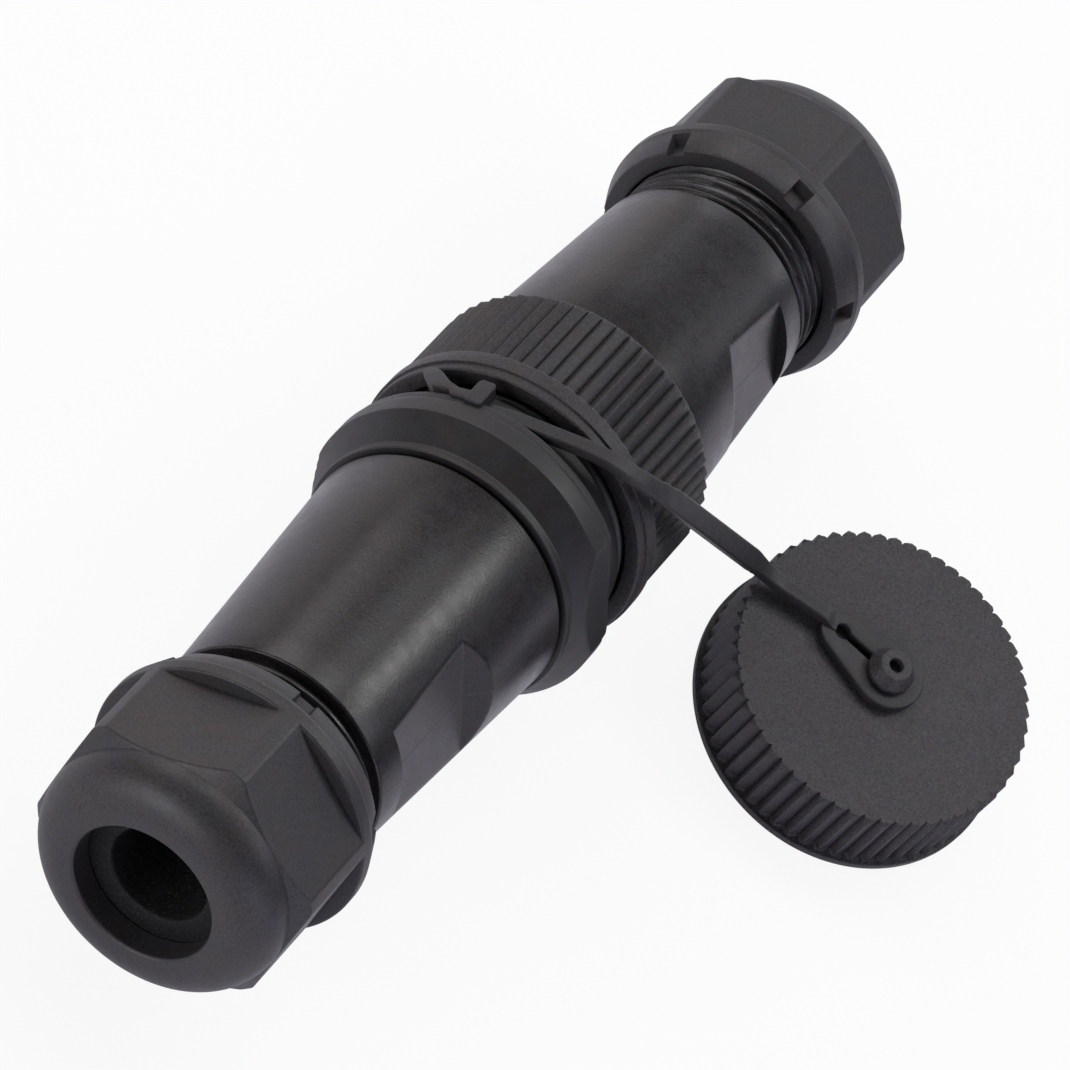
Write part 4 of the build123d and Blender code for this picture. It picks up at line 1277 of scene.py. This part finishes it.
def add_camera():
    """Camera at the photograph's viewing angle."""
    elevation, roll = radians(CAMERA_ELEVATION), radians(CAMERA_ROLL)
    back = Vector((0, -cos(elevation), sin(elevation)))
    right = Vector((1, 0, 0))
    up = back.cross(right)
    across = cos(roll) * right + sin(roll) * up
    upright = cos(roll) * up - sin(roll) * right
    place = Matrix((across, upright, back)).transposed().to_4x4()
    place.translation = (Vector(CAMERA_AIM) + back * FOCAL_PIXELS / PIXELS_PER_MM) * MM
    data = bpy.data.cameras.new("camera")
    data.sensor_width = SENSOR_WIDTH
    data.lens = SENSOR_WIDTH * FOCAL_PIXELS / PHOTO_WIDTH
    camera = add_object("camera", data)
    camera.matrix_world = place
    bpy.context.scene.camera = camera


def add_light(name, azimuth, elevation, size, power, colour):
    """Soft lamp that faces the object from an azimuth and an elevation."""
    turn, rise = radians(azimuth), radians(elevation)
    towards = Vector((cos(rise) * cos(turn), cos(rise) * sin(turn), sin(rise)))
    data = bpy.data.lights.new(name, "AREA")
    data.shape = "RECTANGLE"
    data.size, data.size_y = size
    data.energy = power
    data.color = colour
    lamp = add_object(name, data)
    lamp.location = Vector(CAMERA_AIM) * MM + towards * LAMP_DISTANCE
    lamp.rotation_euler = towards.to_track_quat("Z", "Y").to_euler()


def add_floor():
    """Wide white floor that keeps a faint shadow under a white background."""
    corners = [(x * FLOOR_HALF, y * FLOOR_HALF, floor_level * MM) for x, y in SQUARE]
    mesh = bpy.data.meshes.new("floor")
    mesh.from_pydata(corners, [], [(0, 1, 2, 3)])
    floor = add_object("floor", mesh)
    material, tree, shader = new_material("floor_white")
    shader.inputs["Base Color"].default_value = (*FLOOR_COLOUR, 1.0)
    shader.inputs["Roughness"].default_value = FLOOR_ROUGHNESS
    shader.inputs["Specular IOR Level"].default_value = 0.0
    glow = add(tree, "ShaderNodeEmission")
    path = add(tree, "ShaderNodeLightPath")
    mirrored = combined("MULTIPLY", path.outputs["Is Glossy Ray"], FLOOR_MIRRORED)
    seen = combined("MULTIPLY", path.outputs["Is Camera Ray"], FLOOR_SEEN)
    glow_colour = mixed(path.outputs["Is Camera Ray"], FLOOR_MIRRORED_TINT, FLOOR_SEEN_TINT)
    wire(glow_colour, glow, "Color")
    mix = add(tree, "ShaderNodeMixShader")
    wire(combined("MAXIMUM", seen, mirrored), mix, "Fac")
    wire(shader.outputs["BSDF"], mix, 1)
    wire(glow.outputs["Emission"], mix, 2)
    wire(mix.outputs["Shader"], tree.nodes["Material Output"], "Surface")
    paint(floor, material)


def add_world():
    """Dim studio surroundings behind a pale background."""
    world = bpy.data.worlds.new("studio")
    world.use_nodes = True
    bpy.context.scene.world = world
    tree = world.node_tree
    path = add(tree, "ShaderNodeLightPath")
    colour = mixed(path.outputs["Is Camera Ray"], WORLD_LIGHT, WORLD_SEEN)
    wire(colour, tree.nodes["Background"], "Color")


# The part

materials = {name: plastic(name, *settings) for name, settings in PLASTICS.items()}
materials["seal_rubber"] = rubber()
for name, settings in METALS.items():
    materials[name] = metal(name, *settings)

front_length = front_shell_end - front_shoulder
front_mouth_depth = front_shell_end - coupler_start + SHELL_MOUTH_MARGIN
rear_length = rear_shoulder - rear_shell_front
rear_mouth_depth = stub_gasket_end - rear_shell_front
front_nut = gland_nut("front_nut_moulding", front_gland_place)
rear_nut = gland_nut("rear_nut_moulding", rear_gland_place)
front_seal = gland_seal("front_seal_sleeve", front_gland_place)
rear_seal = gland_seal("rear_seal_sleeve", rear_gland_place)
front_shell = shell("front_shell_moulding", front_shell_place, front_length, front_mouth_depth, FLAT_ANGLE)
rear_shell = shell("rear_shell_moulding", rear_shell_place, rear_length, rear_mouth_depth, 180 - FLAT_ANGLE)

dress(front_nut, "front_gland_nut", "front_nut", "gland_plastic")
dress(rear_nut, "rear_gland_nut", "rear_nut", "gland_plastic")
dress(front_seal, "front_gland_seal", "front_clamp", "seal_rubber")
dress(rear_seal, "rear_gland_seal", "rear_clamp", "seal_rubber")
dress(front_shell, "front_shell", "front_half", "shell_plastic")
dress(rear_shell, "rear_shell", "rear_half", "shell_plastic")
# The coupler wears a darker copy of the shell plastic: painted shade for its flange cone.
dress(front_coupler(), "front_coupler", "front_half", "shell_plastic", "coupler_painted_shade_plastic")
dress(coupling_ring(), "coupling_ring", "coupling", "ring_plastic")
dress(cap(), "cap", "cap", "cap_plastic")
dress(cap_strap(), "cap_strap", "front_half", "strap_plastic")

# Pieces that keep their CAD meshes
carried = {
    "cage_plastic": ("front_clamp_cage", "rear_clamp_cage"),
    "insert_plastic": ("pin_insert", "socket_insert"),
    "shell_plastic": ("plug_body",),
    "seal_rubber": ("front_shell_gasket", "rear_shell_gasket", "interface_seal", "cap_gasket"),
    "contact_brass": ("contact_pins", "contact_sockets"),
    "screw_steel": ("pin_terminal_screws", "socket_terminal_screws"),
}
for name, nodes in carried.items():
    for node in nodes:
        paint(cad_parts[node], materials[name])

add_camera()
add_floor()
add_world()
for lamp in LAMPS:
    add_light(*lamp)
bpy.context.scene.view_settings.view_transform = "Standard"
